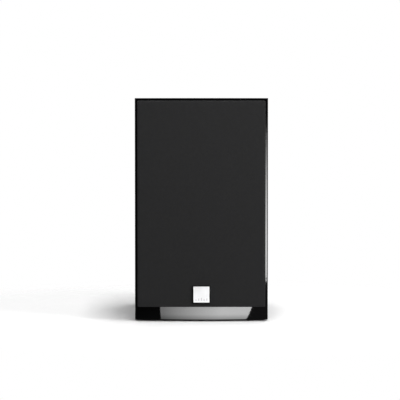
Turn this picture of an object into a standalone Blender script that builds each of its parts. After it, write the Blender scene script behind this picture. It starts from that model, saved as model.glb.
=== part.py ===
"""A compact two-way bookshelf speaker, built from separate solids.

Units are metres and +Z is up. The front faces -Y, and the origin is on the
surface that the speaker stands on, under the middle of its bounding box.
"""

import math

import bmesh
import bpy
from mathutils import Vector

# ---- Driving dimensions ------------------------------------------------------

GAP = 0.0003  # between solids that touch on the real object

# Cabinet
CABINET_WIDTH = 0.162
CABINET_HEIGHT = 0.270
CABINET_DEPTH = 0.212  # crown of the baffle to the rear face
PANEL_THICKNESS = 0.012
REAR_THICKNESS = 0.012
BAFFLE_EDGE_THICKNESS = 0.014
BAFFLE_BOW = 0.0065  # how far the crown stands ahead of the side edges
BAFFLE_ROUNDING = 0.002
BOW_SEGMENTS = 17
FOOT_HEIGHT = 0.0015
FOOT_RADIUS = 0.006
FOOT_INSET = 0.018

# Grille
GRILLE_SIDE_MARGIN = 0.0035
GRILLE_TOP_MARGIN = 0.0032
GRILLE_PROUD = 0.007  # front of the cloth ahead of the baffle's crown
STRIP_HEIGHT = 0.0168  # bare baffle under the grille
CLOTH_THICKNESS = 0.0008
CLOTH_EDGE_CLEARANCE = 0.0018
RAIL_WIDTH = 0.007
GUSSET = 0.009
PEG_INSET = 0.0055
PEG_RADIUS = 0.0025
PEG_LENGTH = 0.0085
CUP_WALL = 0.0014
CUP_LENGTH = 0.010
BADGE_SIZE = 0.0194
BADGE_RIM = 0.00075
BADGE_LIFT = 0.0056  # grille's lower edge to the badge plate
BADGE_PLATE_THICKNESS = 0.0005
BADGE_FLOOR = 0.0005
BADGE_STEM_RADIUS = 0.0015
BOSS_WIDTH = 0.016
BOSS_THICKNESS = 0.003

# Woofer, measured along its axis from the front of the flange
WOOFER_SIDES = 26
WOOFER_CLEARANCE = 0.0067  # lower grille rail to the flange
WOOFER_FLANGE_RADIUS = 0.068
WOOFER_FLANGE_WIDTH = 0.007
WOOFER_FLANGE_THICKNESS = 0.004
BASKET_WALL = 0.002
BASKET_LEDGE = 0.003
LEDGE_DEPTH = 0.0012
THROAT_DEPTH = 0.014
SPIDER_DEPTH = 0.034
SPIDER_RADIUS = 0.043
BASKET_NECK_RADIUS = 0.036
BASKET_DEPTH = 0.050
BASKET_HOLE_RADIUS = 0.020
BASKET_WINDOWS = 6
WINDOW_SHARE = 0.64  # of each sixth of the basket
SURROUND_THICKNESS = 0.0006
ROLL_RADIUS = 0.0046
ROLL_SEGMENTS = 6
SURROUND_LIP = 0.0045
CONE_LIP = 0.003
CONE_THICKNESS = 0.0008
CONE_NECK_DEPTH = 0.020
COIL_RADIUS = 0.0121
COIL_WALL = 0.0008
COIL_END = 0.058
DUST_CAP_RADIUS = 0.018
DUST_CAP_HEIGHT = 0.006
DUST_CAP_THICKNESS = 0.0006
SPIDER_THICKNESS = 0.0005
SPIDER_WAVE = 0.0011
SPIDER_WAVES = 4
POLE_CLEARANCE = 0.0005
TOP_PLATE_THICKNESS = 0.005
TOP_PLATE_RADIUS = 0.034
MAGNET_RADIUS = 0.040
MAGNET_BORE = 0.0165
MAGNET_THICKNESS = 0.015
YOKE_RADIUS = 0.037
YOKE_THICKNESS = 0.005
YOKE_VENT_RADIUS = 0.004
WOOFER_SCREWS = 4

# Tweeter, measured along its axis from the front of the faceplate
TWEETER_SIDES = 22
DRIVER_SPACING = 0.0045
TWEETER_RADIUS = 0.042
TWEETER_THICKNESS = 0.0045
HORN_MOUTH_RADIUS = 0.027
HORN_THROAT_RADIUS = 0.0155
HORN_LIP = 0.0007
DOME_RADIUS = 0.0126
DOME_APEX = 0.0006
DOME_RIM = 0.0048
DOME_THICKNESS = 0.0003
DOME_ROLL_RADIUS = 0.0012
DOME_LIP = 0.0025
TWEETER_COIL_WALL = 0.0004
TWEETER_COIL_LENGTH = 0.0057
TWEETER_PLATE_RADIUS = 0.031
TWEETER_PLATE_THICKNESS = 0.004
TWEETER_MAGNET_RADIUS = 0.034
TWEETER_MAGNET_BORE = 0.0165
TWEETER_MAGNET_THICKNESS = 0.010
TWEETER_POLE_DEPTH = 0.006
TWEETER_SCREWS = 3

# Reflex port, on the rear panel
PORT_SIDES = 20
PORT_DROP = 0.0755  # top of the cabinet to the port's axis
PORT_RADIUS = 0.017
PORT_LENGTH = 0.090
PORT_WALL = 0.002
PORT_FLARE = 0.008
PORT_INNER_FLARE = 0.0035
PORT_COLLAR_DEPTH = 0.013
PORT_FLANGE_RADIUS = 0.031
PORT_FLANGE_THICKNESS = 0.002

# Terminal cup and binding posts
TERMINAL_RISE = 0.0605  # bottom of the cabinet to the posts
CUP_FLANGE_WIDTH = 0.084
CUP_FLANGE_HEIGHT = 0.062
CUP_FLANGE_THICKNESS = 0.002
CUP_CORNER = 0.008
DISH_WIDTH = 0.056
DISH_HEIGHT = 0.040
DISH_DEPTH = 0.014
DISH_WALL = 0.0025
DISH_CORNER = 0.005
POST_SPACING = 0.019
POST_PROUD = 0.0075  # caps beyond the rear face
STUD_RADIUS = 0.003
STUD_BORE = 0.002
STUD_BORE_DEPTH = 0.014
STUD_FLANGE_RADIUS = 0.0056
STUD_FLANGE_THICKNESS = 0.0015
STUD_INNER_LENGTH = 0.0130
STUD_RECESS = 0.002  # end of the stud inside the cap's end
WIRE_HOLE_RADIUS = 0.0011
WASHER_THICKNESS = 0.0012
WASHER_RADIUS = 0.0056
CAP_RADIUS = 0.007
TERMINAL_SCREW_INSET = 0.006

# Crossover, on the back of the terminal cup
BOARD_WIDTH = 0.090
BOARD_HEIGHT = 0.064
BOARD_THICKNESS = 0.0016
BOARD_STANDOFF = 0.006
WOOFER_COIL_SIZE = (0.006, 0.015, 0.012)  # bore radius, radius, width
TWEETER_COIL_SIZE = (0.004, 0.011, 0.009)
CAPACITOR_RADIUS = 0.008
CAPACITOR_LENGTH = 0.030
RESISTOR_SIZE = (0.022, 0.009, 0.0095)  # along X, Y and Z
LEAD_RADIUS = 0.0013

# Wadding
WADDING_THICKNESS = 0.018
WADDING_MARGIN = 0.006

# Screws: head radius, head height, shank radius, length under the head
SCREW_SIDES = 8
WOOFER_SCREW = (0.0028, 0.0018, 0.0013, 0.012)
TWEETER_SCREW = (0.0023, 0.0015, 0.0011, 0.013)
TERMINAL_SCREW = (0.0028, 0.0018, 0.0013, 0.010)
DRIVE_SHARE = 0.5  # of the head's radius
SCREW_POINT = 0.002
HOLE_CLEARANCE = 0.0004
PILOT_EXTRA = 0.001

# ---- Planes and centres that follow from them --------------------------------

HALF_WIDTH = CABINET_WIDTH / 2
BOTTOM_Z = FOOT_HEIGHT
TOP_Z = BOTTOM_Z + CABINET_HEIGHT
BADGE_PROUD = GAP + BADGE_FLOOR + GAP + BADGE_PLATE_THICKNESS
OVERALL_DEPTH = BADGE_PROUD + GRILLE_PROUD + CABINET_DEPTH + POST_PROUD
FRONT_Y = -OVERALL_DEPTH / 2
CLOTH_Y = FRONT_Y + BADGE_PROUD
CROWN_Y = CLOTH_Y + GRILLE_PROUD
BAFFLE_REAR_Y = CROWN_Y + BAFFLE_BOW + BAFFLE_EDGE_THICKNESS
REAR_Y = CROWN_Y + CABINET_DEPTH
BOW_RADIUS = (HALF_WIDTH**2 + BAFFLE_BOW**2) / (2 * BAFFLE_BOW)

GRILLE_WIDTH = CABINET_WIDTH - 2 * GRILLE_SIDE_MARGIN
GRILLE_HEIGHT = CABINET_HEIGHT - STRIP_HEIGHT - GRILLE_TOP_MARGIN
GRILLE_BOTTOM_Z = BOTTOM_Z + STRIP_HEIGHT
GRILLE_MIDDLE_Z = GRILLE_BOTTOM_Z + GRILLE_HEIGHT / 2
FRAME_WIDTH = GRILLE_WIDTH - 2 * (CLOTH_THICKNESS + GAP)
FRAME_HEIGHT = GRILLE_HEIGHT - 2 * (CLOTH_THICKNESS + GAP)
FRAME_FRONT_Y = CLOTH_Y + CLOTH_THICKNESS + GAP
BADGE_Z = GRILLE_BOTTOM_Z + BADGE_LIFT + BADGE_SIZE / 2
HOLDER_SIZE = BADGE_SIZE + 2 * (GAP + BADGE_RIM)

WOOFER_Z = GRILLE_BOTTOM_Z + RAIL_WIDTH + WOOFER_CLEARANCE + WOOFER_FLANGE_RADIUS
TWEETER_Z = WOOFER_Z + WOOFER_FLANGE_RADIUS + DRIVER_SPACING + TWEETER_RADIUS
PORT_Z = TOP_Z - PORT_DROP
TERMINAL_Z = BOTTOM_Z + TERMINAL_RISE
DISH_FLOOR_Y = REAR_Y - DISH_DEPTH
BOARD_REAR_Y = DISH_FLOOR_Y - DISH_WALL - BOARD_STANDOFF
BOARD_FRONT_Y = BOARD_REAR_Y - BOARD_THICKNESS

THROAT_RADIUS = WOOFER_FLANGE_RADIUS - WOOFER_FLANGE_WIDTH
SURROUND_OUTER = THROAT_RADIUS - BASKET_WALL / 4
LEDGE_RADIUS = THROAT_RADIUS - BASKET_WALL - BASKET_LEDGE
ROLL_CENTRE = SURROUND_OUTER - SURROUND_LIP - ROLL_RADIUS
CONE_RADIUS = ROLL_CENTRE - ROLL_RADIUS
CONE_NECK_RADIUS = COIL_RADIUS + COIL_WALL + GAP
POLE_RADIUS = COIL_RADIUS - POLE_CLEARANCE
PLATE_BORE = COIL_RADIUS + COIL_WALL + POLE_CLEARANCE
WOOFER_SCREW_CIRCLE = WOOFER_FLANGE_RADIUS - WOOFER_FLANGE_WIDTH / 2
TWEETER_CUTOUT = TWEETER_MAGNET_RADIUS + GAP
TWEETER_SCREW_CIRCLE = (TWEETER_CUTOUT + TWEETER_RADIUS) / 2

MATERIALS = {
    "gloss_black": ((0.004, 0.004, 0.005), 0.06, 0.0),
    "black_ash": ((0.012, 0.011, 0.011), 0.45, 0.0),
    "grille_cloth": ((0.018, 0.018, 0.019), 0.95, 0.0),
    "black_plastic": ((0.010, 0.010, 0.011), 0.50, 0.0),
    "badge_white": ((0.86, 0.86, 0.86), 0.30, 0.6),
    "rubber": ((0.012, 0.012, 0.012), 0.70, 0.0),
    "cone_paper": ((0.030, 0.027, 0.025), 0.80, 0.0),
    "painted_steel": ((0.015, 0.015, 0.016), 0.40, 0.6),
    "plated_steel": ((0.55, 0.55, 0.53), 0.30, 1.0),
    "ferrite": ((0.035, 0.035, 0.036), 0.70, 0.1),
    "copper": ((0.55, 0.23, 0.10), 0.35, 1.0),
    "spider_cloth": ((0.42, 0.24, 0.08), 0.90, 0.0),
    "dome_silk": ((0.010, 0.010, 0.010), 0.75, 0.0),
    "gold_plate": ((0.75, 0.52, 0.20), 0.25, 1.0),
    "red_plastic": ((0.45, 0.012, 0.010), 0.30, 0.0),
    "board_green": ((0.02, 0.13, 0.05), 0.45, 0.0),
    "capacitor_film": ((0.45, 0.36, 0.08), 0.35, 0.0),
    "white_cement": ((0.70, 0.69, 0.66), 0.80, 0.0),
    "wadding": ((0.75, 0.75, 0.72), 1.00, 0.0),
}


# ---- Modelling helpers -------------------------------------------------------


def bow_drop(x):
    """How far the bowed front lies behind its crown at x."""
    return BOW_RADIUS - math.sqrt(BOW_RADIUS**2 - x**2)


def material(name):
    """The named finish, made once."""
    found = bpy.data.materials.get(name)
    if found:
        return found
    colour, roughness, metallic = MATERIALS[name]
    made = bpy.data.materials.new(name)
    made.use_nodes = True
    shader = made.node_tree.nodes["Principled BSDF"]
    shader.inputs["Base Color"].default_value = (*colour, 1.0)
    shader.inputs["Roughness"].default_value = roughness
    shader.inputs["Metallic"].default_value = metallic
    return made


def place(name, mesh, finish, at=(0, 0, 0), turned=(0, 0, 0)):
    """A named object for the mesh, with its finish and place."""
    obj = bpy.data.objects.new(name, mesh)
    if not mesh.materials:
        mesh.materials.append(material(finish))
    obj.location = at
    obj.rotation_euler = turned
    bpy.context.scene.collection.objects.link(obj)
    return obj


def mesh_of(bm, name):
    """The bmesh as a mesh that faces outwards and is smooth where it is round."""
    bmesh.ops.recalc_face_normals(bm, faces=bm.faces)
    mesh = bpy.data.meshes.new(name)
    bm.to_mesh(mesh)
    bm.free()
    mesh.shade_smooth()
    mesh.set_sharp_from_angle(angle=math.radians(35))
    return mesh


def turned_mesh(name, profile, sides):
    """The closed outline of (radius, depth) points, spun about the Y axis."""
    bm = bmesh.new()
    ring = [bm.verts.new((radius, depth, 0)) for radius, depth in profile]
    for first, second in zip(ring, ring[1:] + ring[:1]):
        if not (first.co.x == 0 and second.co.x == 0):
            bm.edges.new((first, second))
    bmesh.ops.spin(
        bm,
        geom=bm.verts[:] + bm.edges[:],
        cent=(0, 0, 0),
        axis=(0, 1, 0),
        angle=math.tau,
        steps=sides,
        use_merge=True,
    )
    bmesh.ops.remove_doubles(bm, verts=bm.verts, dist=1e-6)
    return mesh_of(bm, name)


def turned(name, profile, finish, at, sides, turn=(0, 0, 0)):
    """A turned solid whose axis runs along Y before it is turned."""
    return place(name, turned_mesh(name, profile, sides), finish, at, turn)


def prism_mesh(name, outline, start, end, axis="Y"):
    """The outline extruded from start to end along Y, or along Z."""
    bm = bmesh.new()
    if axis == "Y":
        corners = [bm.verts.new((u, start, v)) for u, v in outline]
        along = Vector((0, end - start, 0))
    else:
        corners = [bm.verts.new((u, v, start)) for u, v in outline]
        along = Vector((0, 0, end - start))
    face = bm.faces.new(corners)
    grown = bmesh.ops.extrude_face_region(bm, geom=[face])
    moved = [item for item in grown["geom"] if isinstance(item, bmesh.types.BMVert)]
    bmesh.ops.translate(bm, verts=moved, vec=along)
    return mesh_of(bm, name)


def box_outline(width, height, middle=(0, 0)):
    """A rectangle about its middle."""
    (u, v), half_u, half_v = middle, width / 2, height / 2
    return [
        (u - half_u, v - half_v),
        (u + half_u, v - half_v),
        (u + half_u, v + half_v),
        (u - half_u, v + half_v),
    ]


def rounded_outline(width, height, corner, middle=(0, 0), steps=4):
    """A rectangle with round corners."""
    points = []
    for quarter, (sign_u, sign_v) in enumerate([(1, 1), (-1, 1), (-1, -1), (1, -1)]):
        centre_u = middle[0] + sign_u * (width / 2 - corner)
        centre_v = middle[1] + sign_v * (height / 2 - corner)
        for step in range(steps + 1):
            angle = (quarter + step / steps) * math.pi / 2
            points.append(
                (centre_u + corner * math.cos(angle), centre_v + corner * math.sin(angle))
            )
    return points


def clipped_outline(width, height, clip, middle):
    """A rectangle with its corners cut off at 45 degrees."""
    return rounded_outline(width, height, clip, middle, steps=1)


def join(obj, other, operation):
    """Adds the other object to this one, or cuts it away, and hides it."""
    modifier = obj.modifiers.new(f"{operation.lower()} {other.name}", "BOOLEAN")
    modifier.operation = operation
    modifier.object = other
    modifier.solver = "EXACT"
    other.hide_render = True
    other.display_type = "WIRE"


def cut(obj, *cutters):
    """Cuts each cutter away from the object."""
    for cutter in cutters:
        join(obj, cutter, "DIFFERENCE")


def drill(radius, start, end, at, sides, turn=(0, 0, 0)):
    """A round cutter from start to end along Y, about a point."""
    outline = [(0, start), (radius, start), (radius, end), (0, end)]
    return turned("cutter", outline, "black_plastic", at, sides, turn)


def block_cutter(outline, start, end):
    """A straight cutter of that outline, from start to end along Y."""
    return place("cutter", prism_mesh("cutter", outline, start, end), "black_plastic")


def circle(count, radius, middle_z, first_angle):
    """Points spaced evenly on a circle in the XZ plane."""
    for index in range(count):
        angle = first_angle + index * math.tau / count
        yield radius * math.cos(angle), middle_z + radius * math.sin(angle)


def screw_mesh(name, size):
    """A screw that points along +Y, with a round drive in its head."""
    head_radius, head_height, shank_radius, length = size
    drive = head_radius * DRIVE_SHARE
    outline = [
        (0, -head_height / 2),
        (drive, -head_height / 2),
        (drive, -head_height),
        (head_radius * 0.75, -head_height),
        (head_radius, -head_height / 2),
        (head_radius, -GAP),
        (shank_radius, -GAP),
        (shank_radius, length - SCREW_POINT),
        (0, length),
    ]
    return turned_mesh(name, outline, SCREW_SIDES)


def screw_hole(size, depth, at, outward=False):
    """The cutter for a screw's clearance or pilot hole, from its head's seat."""
    reach = depth + PILOT_EXTRA
    start, end = (-reach, GAP * 20) if outward else (-GAP * 20, reach)
    return drill(size[2] + HOLE_CLEARANCE, start, end, at, SCREW_SIDES)


# ---- Cabinet -----------------------------------------------------------------


def bow_outline(half_width, flat_y, clearance):
    """The plan of a piece with one flat face, at flat_y, and one bowed one."""
    arc = []
    for step in range(BOW_SEGMENTS + 1):
        x = half_width * (2 * step / BOW_SEGMENTS - 1)
        arc.append((x, CROWN_Y + bow_drop(x) - clearance))
    return arc + [(half_width, flat_y), (-half_width, flat_y)]


def front_baffle():
    """The bowed board that carries the drivers, rounded along its front edges."""
    outline = bow_outline(HALF_WIDTH, BAFFLE_REAR_Y, 0)
    bm = bmesh.new()
    corners = [bm.verts.new((x, y, BOTTOM_Z)) for x, y in outline]
    face = bm.faces.new(corners)
    grown = bmesh.ops.extrude_face_region(bm, geom=[face])
    moved = [item for item in grown["geom"] if isinstance(item, bmesh.types.BMVert)]
    bmesh.ops.translate(bm, verts=moved, vec=(0, 0, CABINET_HEIGHT))
    bmesh.ops.recalc_face_normals(bm, faces=bm.faces)
    behind_arc = BAFFLE_REAR_Y - BAFFLE_EDGE_THICKNESS / 2
    front = [edge for edge in bm.edges if all(v.co.y < behind_arc for v in edge.verts)]
    rim = [edge for edge in front if edge.calc_face_angle(0) > math.radians(60)]
    bmesh.ops.bevel(
        bm,
        geom=rim,
        offset=BAFFLE_ROUNDING,
        segments=3,
        profile=0.5,
        affect="EDGES",
        material=-1,
    )
    baffle = place("front_baffle", mesh_of(bm, "front_baffle"), "gloss_black")
    cut_driver_seats(baffle)
    cut_peg_holes(baffle)
    return baffle


def cut_driver_seats(baffle):
    """Stepped holes and pilot holes for both drivers."""
    cut(baffle, seat_cutter(
        (WOOFER_FLANGE_RADIUS, WOOFER_FLANGE_THICKNESS),
        THROAT_RADIUS, (0, woofer_y(), WOOFER_Z), WOOFER_SIDES,
    ))
    cut(baffle, seat_cutter(
        (TWEETER_RADIUS, TWEETER_THICKNESS),
        TWEETER_CUTOUT, (0, tweeter_y(), TWEETER_Z), TWEETER_SIDES,
    ))
    for x, z in woofer_screw_places():
        seat = (x, woofer_y(), z)
        cut(baffle, screw_hole(WOOFER_SCREW, WOOFER_SCREW[3], seat))
    for x, z in tweeter_screw_places():
        seat = (x, tweeter_y(), z)
        cut(baffle, screw_hole(TWEETER_SCREW, TWEETER_SCREW[3], seat))


def seat_cutter(flange, hole_radius, at, sides):
    """A driver's hole with the rebate that takes its flange."""
    radius, thickness = flange[0] + GAP, flange[1] + GAP
    reach = 2 * (BAFFLE_BOW + BAFFLE_EDGE_THICKNESS)
    outline = [
        (0, -reach),
        (radius, -reach),
        (radius, thickness),
        (hole_radius + GAP, thickness),
        (hole_radius + GAP, reach),
        (0, reach),
    ]
    return turned("cutter", outline, "black_plastic", at, sides)


def cut_peg_holes(baffle):
    """Blind holes for the grille cups."""
    radius = PEG_RADIUS + HOLE_CLEARANCE + CUP_WALL + GAP
    for x, z in peg_places().values():
        at = (x, cup_front_y(), z)
        cutter = drill(radius, -CUP_LENGTH, CUP_LENGTH + GAP, at, SCREW_SIDES)
        cut(baffle, cutter)


def woofer_y():
    """Front plane of the woofer's flange, flush with the bow at its sides."""
    return CROWN_Y + bow_drop(WOOFER_FLANGE_RADIUS)


def tweeter_y():
    """Front plane of the tweeter's faceplate, flush with the bow at its sides."""
    return CROWN_Y + bow_drop(TWEETER_RADIUS)


def woofer_screw_places():
    """(x, z) of each woofer screw."""
    return list(circle(WOOFER_SCREWS, WOOFER_SCREW_CIRCLE, WOOFER_Z, math.pi / 4))


def tweeter_screw_places():
    """(x, z) of each tweeter screw."""
    return list(circle(TWEETER_SCREWS, TWEETER_SCREW_CIRCLE, TWEETER_Z, math.pi / 2))


def peg_places():
    """(x, z) of each grille peg, by corner."""
    half = GRILLE_WIDTH / 2 - PEG_INSET
    rise = GRILLE_HEIGHT / 2 - PEG_INSET
    return {
        f"{level}_{side}": (sign_x * half, GRILLE_MIDDLE_Z + sign_z * rise)
        for level, sign_z in (("lower", -1), ("upper", 1))
        for side, sign_x in (("left", -1), ("right", 1))
    }


def cup_front_y():
    """Front of the grille cups, just under the bowed surface there."""
    reach = GRILLE_WIDTH / 2 - PEG_INSET + PEG_RADIUS + CUP_WALL
    return CROWN_Y + bow_drop(reach) + GAP


def sleeve():
    """Four mitred boards that make the box behind the baffle."""
    setback = GAP / math.sqrt(2)
    outer, inner = HALF_WIDTH, HALF_WIDTH - PANEL_THICKNESS
    low, high = BOTTOM_Z, TOP_Z
    low_in, high_in = low + PANEL_THICKNESS, high - PANEL_THICKNESS
    side = [
        (outer, low + setback),
        (outer, high - setback),
        (inner, high_in - setback),
        (inner, low_in + setback),
    ]
    level = [
        (-outer + setback, high),
        (outer - setback, high),
        (inner - setback, high_in),
        (-inner + setback, high_in),
    ]
    start = BAFFLE_REAR_Y + GAP
    outlines = {
        "side_panel_right": side,
        "side_panel_left": [(-x, z) for x, z in side],
        "top_panel": level,
        "bottom_panel": [(x, low + high - z) for x, z in level],
    }
    for name, outline in outlines.items():
        place(name, prism_mesh(name, outline, start, REAR_Y), "black_ash")


def rear_panel():
    """The board let into the back of the sleeve, with its cut-outs."""
    width = CABINET_WIDTH - 2 * (PANEL_THICKNESS + GAP)
    height = CABINET_HEIGHT - 2 * (PANEL_THICKNESS + GAP)
    outline = box_outline(width, height, (0, (BOTTOM_Z + TOP_Z) / 2))
    start = REAR_Y - REAR_THICKNESS
    mesh = prism_mesh("rear_panel", outline, start, REAR_Y)
    panel = place("rear_panel", mesh, "black_ash")
    past = REAR_THICKNESS * 2
    collar = PORT_RADIUS + PORT_FLARE + PORT_WALL
    cut(panel, drill(collar + GAP, -past, past, (0, REAR_Y, PORT_Z), PORT_SIDES))
    opening = rounded_outline(
        DISH_WIDTH + 2 * (DISH_WALL + GAP),
        DISH_HEIGHT + 2 * (DISH_WALL + GAP),
        DISH_CORNER + DISH_WALL + GAP,
        (0, TERMINAL_Z),
    )
    cut(panel, block_cutter(opening, REAR_Y - past, REAR_Y + past))
    for x, z in terminal_screw_places():
        seat = (x, REAR_Y + GAP + CUP_FLANGE_THICKNESS, z)
        cut(panel, screw_hole(TERMINAL_SCREW, TERMINAL_SCREW[3], seat, outward=True))


def feet():
    """Four thin rubber feet, turned so that their axis is upright."""
    height = FOOT_HEIGHT - GAP
    outline = [
        (0, 0),
        (FOOT_RADIUS - height / 2, 0),
        (FOOT_RADIUS, height / 2),
        (FOOT_RADIUS, height),
        (0, height),
    ]
    upright = (math.pi / 2, 0, 0)
    front_y, rear_y = BAFFLE_REAR_Y + FOOT_INSET, REAR_Y - FOOT_INSET
    for level, y in (("front", front_y), ("rear", rear_y)):
        for side, sign in (("left", -1), ("right", 1)):
            at = (sign * (HALF_WIDTH - FOOT_INSET), y, 0)
            turned(f"foot_{level}_{side}", outline, "rubber", at, PORT_SIDES, upright)


# ---- Grille ------------------------------------------------------------------


def grille_frame():
    """The moulded frame: flat in front, curved behind, with four pegs."""
    half = FRAME_WIDTH / 2
    outline = bow_outline(half, FRAME_FRONT_Y, GAP)
    bottom = GRILLE_MIDDLE_Z - FRAME_HEIGHT / 2
    top = GRILLE_MIDDLE_Z + FRAME_HEIGHT / 2
    mesh = prism_mesh("grille_frame", outline, bottom, top, axis="Z")
    frame = place("grille_frame", mesh, "black_plastic")
    window = clipped_outline(
        GRILLE_WIDTH - 2 * RAIL_WIDTH,
        GRILLE_HEIGHT - 2 * RAIL_WIDTH,
        GUSSET,
        (0, GRILLE_MIDDLE_Z),
    )
    past = GRILLE_PROUD + BAFFLE_BOW
    cut(frame, block_cutter(window, FRAME_FRONT_Y - past, BAFFLE_REAR_Y))
    boss_top = BADGE_Z + BADGE_SIZE / 2
    boss_foot = GRILLE_BOTTOM_Z + RAIL_WIDTH / 2
    boss = box_outline(BOSS_WIDTH, boss_top - boss_foot, (0, (boss_top + boss_foot) / 2))
    start = FRAME_FRONT_Y + GAP
    join(frame, block_cutter(boss, start, start + BOSS_THICKNESS), "UNION")
    for x, z in peg_places().values():
        peg = [
            (0, -BAFFLE_BOW / 2),
            (PEG_RADIUS, -BAFFLE_BOW / 2),
            (PEG_RADIUS, PEG_LENGTH - PEG_RADIUS / 2),
            (PEG_RADIUS / 2, PEG_LENGTH),
            (0, PEG_LENGTH),
        ]
        at = (x, cup_front_y(), z)
        join(frame, turned("peg", peg, "black_plastic", at, SCREW_SIDES), "UNION")
    cut(frame, badge_stem_hole())


def badge_stem_hole():
    """The cutter for the badge's stem through the cloth and the boss."""
    radius = BADGE_STEM_RADIUS + GAP
    reach = GRILLE_PROUD * 2
    return drill(radius, -reach, reach, (0, FRAME_FRONT_Y, BADGE_Z), SCREW_SIDES)


def grille_cloth():
    """The stretched cloth: a front sheet and the part that wraps the frame."""
    outline = bow_outline(GRILLE_WIDTH / 2, CLOTH_Y, CLOTH_EDGE_CLEARANCE)
    top = GRILLE_BOTTOM_Z + GRILLE_HEIGHT
    mesh = prism_mesh("grille_cloth", outline, GRILLE_BOTTOM_Z, top, axis="Z")
    cloth = place("grille_cloth", mesh, "grille_cloth")
    inside = box_outline(
        FRAME_WIDTH + 2 * GAP, FRAME_HEIGHT + 2 * GAP, (0, GRILLE_MIDDLE_Z)
    )
    cut(cloth, block_cutter(inside, CLOTH_Y + CLOTH_THICKNESS, BAFFLE_REAR_Y))
    cut(cloth, badge_stem_hole())


def badge():
    """A plain square plate in a thin holder whose stem passes through the cloth."""
    middle = (0, BADGE_Z)
    back = CLOTH_Y - GAP
    mesh = prism_mesh("badge_holder", box_outline(HOLDER_SIZE, HOLDER_SIZE, middle), FRONT_Y, back)
    holder = place("badge_holder", mesh, "black_plastic")
    pocket = box_outline(BADGE_SIZE + 2 * GAP, BADGE_SIZE + 2 * GAP, middle)
    cut(holder, block_cutter(pocket, FRONT_Y - BADGE_FLOOR, back - BADGE_FLOOR))
    stem_end = GRILLE_PROUD / 2
    stem = drill(BADGE_STEM_RADIUS, -BADGE_FLOOR / 2, stem_end, (0, back, BADGE_Z), SCREW_SIDES)
    join(holder, stem, "UNION")
    plate = box_outline(BADGE_SIZE, BADGE_SIZE, middle)
    plate_back = FRONT_Y + BADGE_PLATE_THICKNESS
    place("badge_plate", prism_mesh("badge_plate", plate, FRONT_Y, plate_back), "badge_white")


def grille_cups():
    """Rubber cups, let into the baffle, that grip the pegs."""
    bore = PEG_RADIUS + HOLE_CLEARANCE
    outline = [(bore, 0), (bore + CUP_WALL, 0), (bore + CUP_WALL, CUP_LENGTH), (bore, CUP_LENGTH)]
    mesh = turned_mesh("grille_cup", outline, SCREW_SIDES)
    for corner, (x, z) in peg_places().items():
        place(f"grille_cup_{corner}", mesh, "rubber", (x, cup_front_y(), z))


# ---- Woofer ------------------------------------------------------------------


def cone_depth(radius):
    """Depth of the cone's front face at a radius."""
    rim_radius, rim_depth = CONE_RADIUS - CONE_LIP, LEDGE_DEPTH
    slope = (CONE_NECK_DEPTH - rim_depth) / (rim_radius - CONE_NECK_RADIUS)
    return rim_depth + (rim_radius - radius) * slope


def woofer_basket(at):
    """The pressed frame, with a window between each pair of its spokes."""
    throat_inner = THROAT_RADIUS - BASKET_WALL
    spider_seat = SPIDER_RADIUS + 2 * GAP
    neck_outer = BASKET_NECK_RADIUS + BASKET_WALL
    outline = [
        (WOOFER_FLANGE_RADIUS, 0),
        (WOOFER_FLANGE_RADIUS, WOOFER_FLANGE_THICKNESS),
        (THROAT_RADIUS, WOOFER_FLANGE_THICKNESS),
        (THROAT_RADIUS, THROAT_DEPTH),
        (spider_seat + BASKET_WALL, SPIDER_DEPTH + BASKET_WALL),
        (neck_outer, SPIDER_DEPTH + BASKET_WALL),
        (neck_outer, BASKET_DEPTH),
        (BASKET_HOLE_RADIUS, BASKET_DEPTH),
        (BASKET_HOLE_RADIUS, BASKET_DEPTH - BASKET_WALL),
        (BASKET_NECK_RADIUS, BASKET_DEPTH - BASKET_WALL),
        (BASKET_NECK_RADIUS, SPIDER_DEPTH),
        (spider_seat, SPIDER_DEPTH),
        (throat_inner, THROAT_DEPTH - BASKET_WALL / 2),
        (throat_inner, WOOFER_FLANGE_THICKNESS - BASKET_WALL / 2),
        (LEDGE_RADIUS, WOOFER_FLANGE_THICKNESS - BASKET_WALL / 2),
        (LEDGE_RADIUS, LEDGE_DEPTH),
        (THROAT_RADIUS, LEDGE_DEPTH),
        (THROAT_RADIUS, 0),
    ]
    basket = turned("woofer_basket", outline, "painted_steel", at, WOOFER_SIDES)
    for index in range(BASKET_WINDOWS):
        cut(basket, window_cutter(at, index))
    for x, z in woofer_screw_places():
        seat = (x, at[1], z)
        cut(basket, screw_hole(WOOFER_SCREW, WOOFER_FLANGE_THICKNESS, seat))


def window_cutter(at, index):
    """A wedge that opens the basket's slope between two spokes."""
    pitch = math.tau / BASKET_WINDOWS
    middle, half = index * pitch, pitch * WINDOW_SHARE / 2
    near, far = BASKET_NECK_RADIUS, WOOFER_FLANGE_RADIUS
    corners = [
        (radius * math.cos(middle + turn), radius * math.sin(middle + turn))
        for radius, turn in ((near, -half), (far, -half), (far, half), (near, half))
    ]
    start, end = THROAT_DEPTH + BASKET_WALL, SPIDER_DEPTH - BASKET_WALL / 2
    mesh = prism_mesh("cutter", corners, start, end)
    return place("cutter", mesh, "painted_steel", at)


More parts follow.
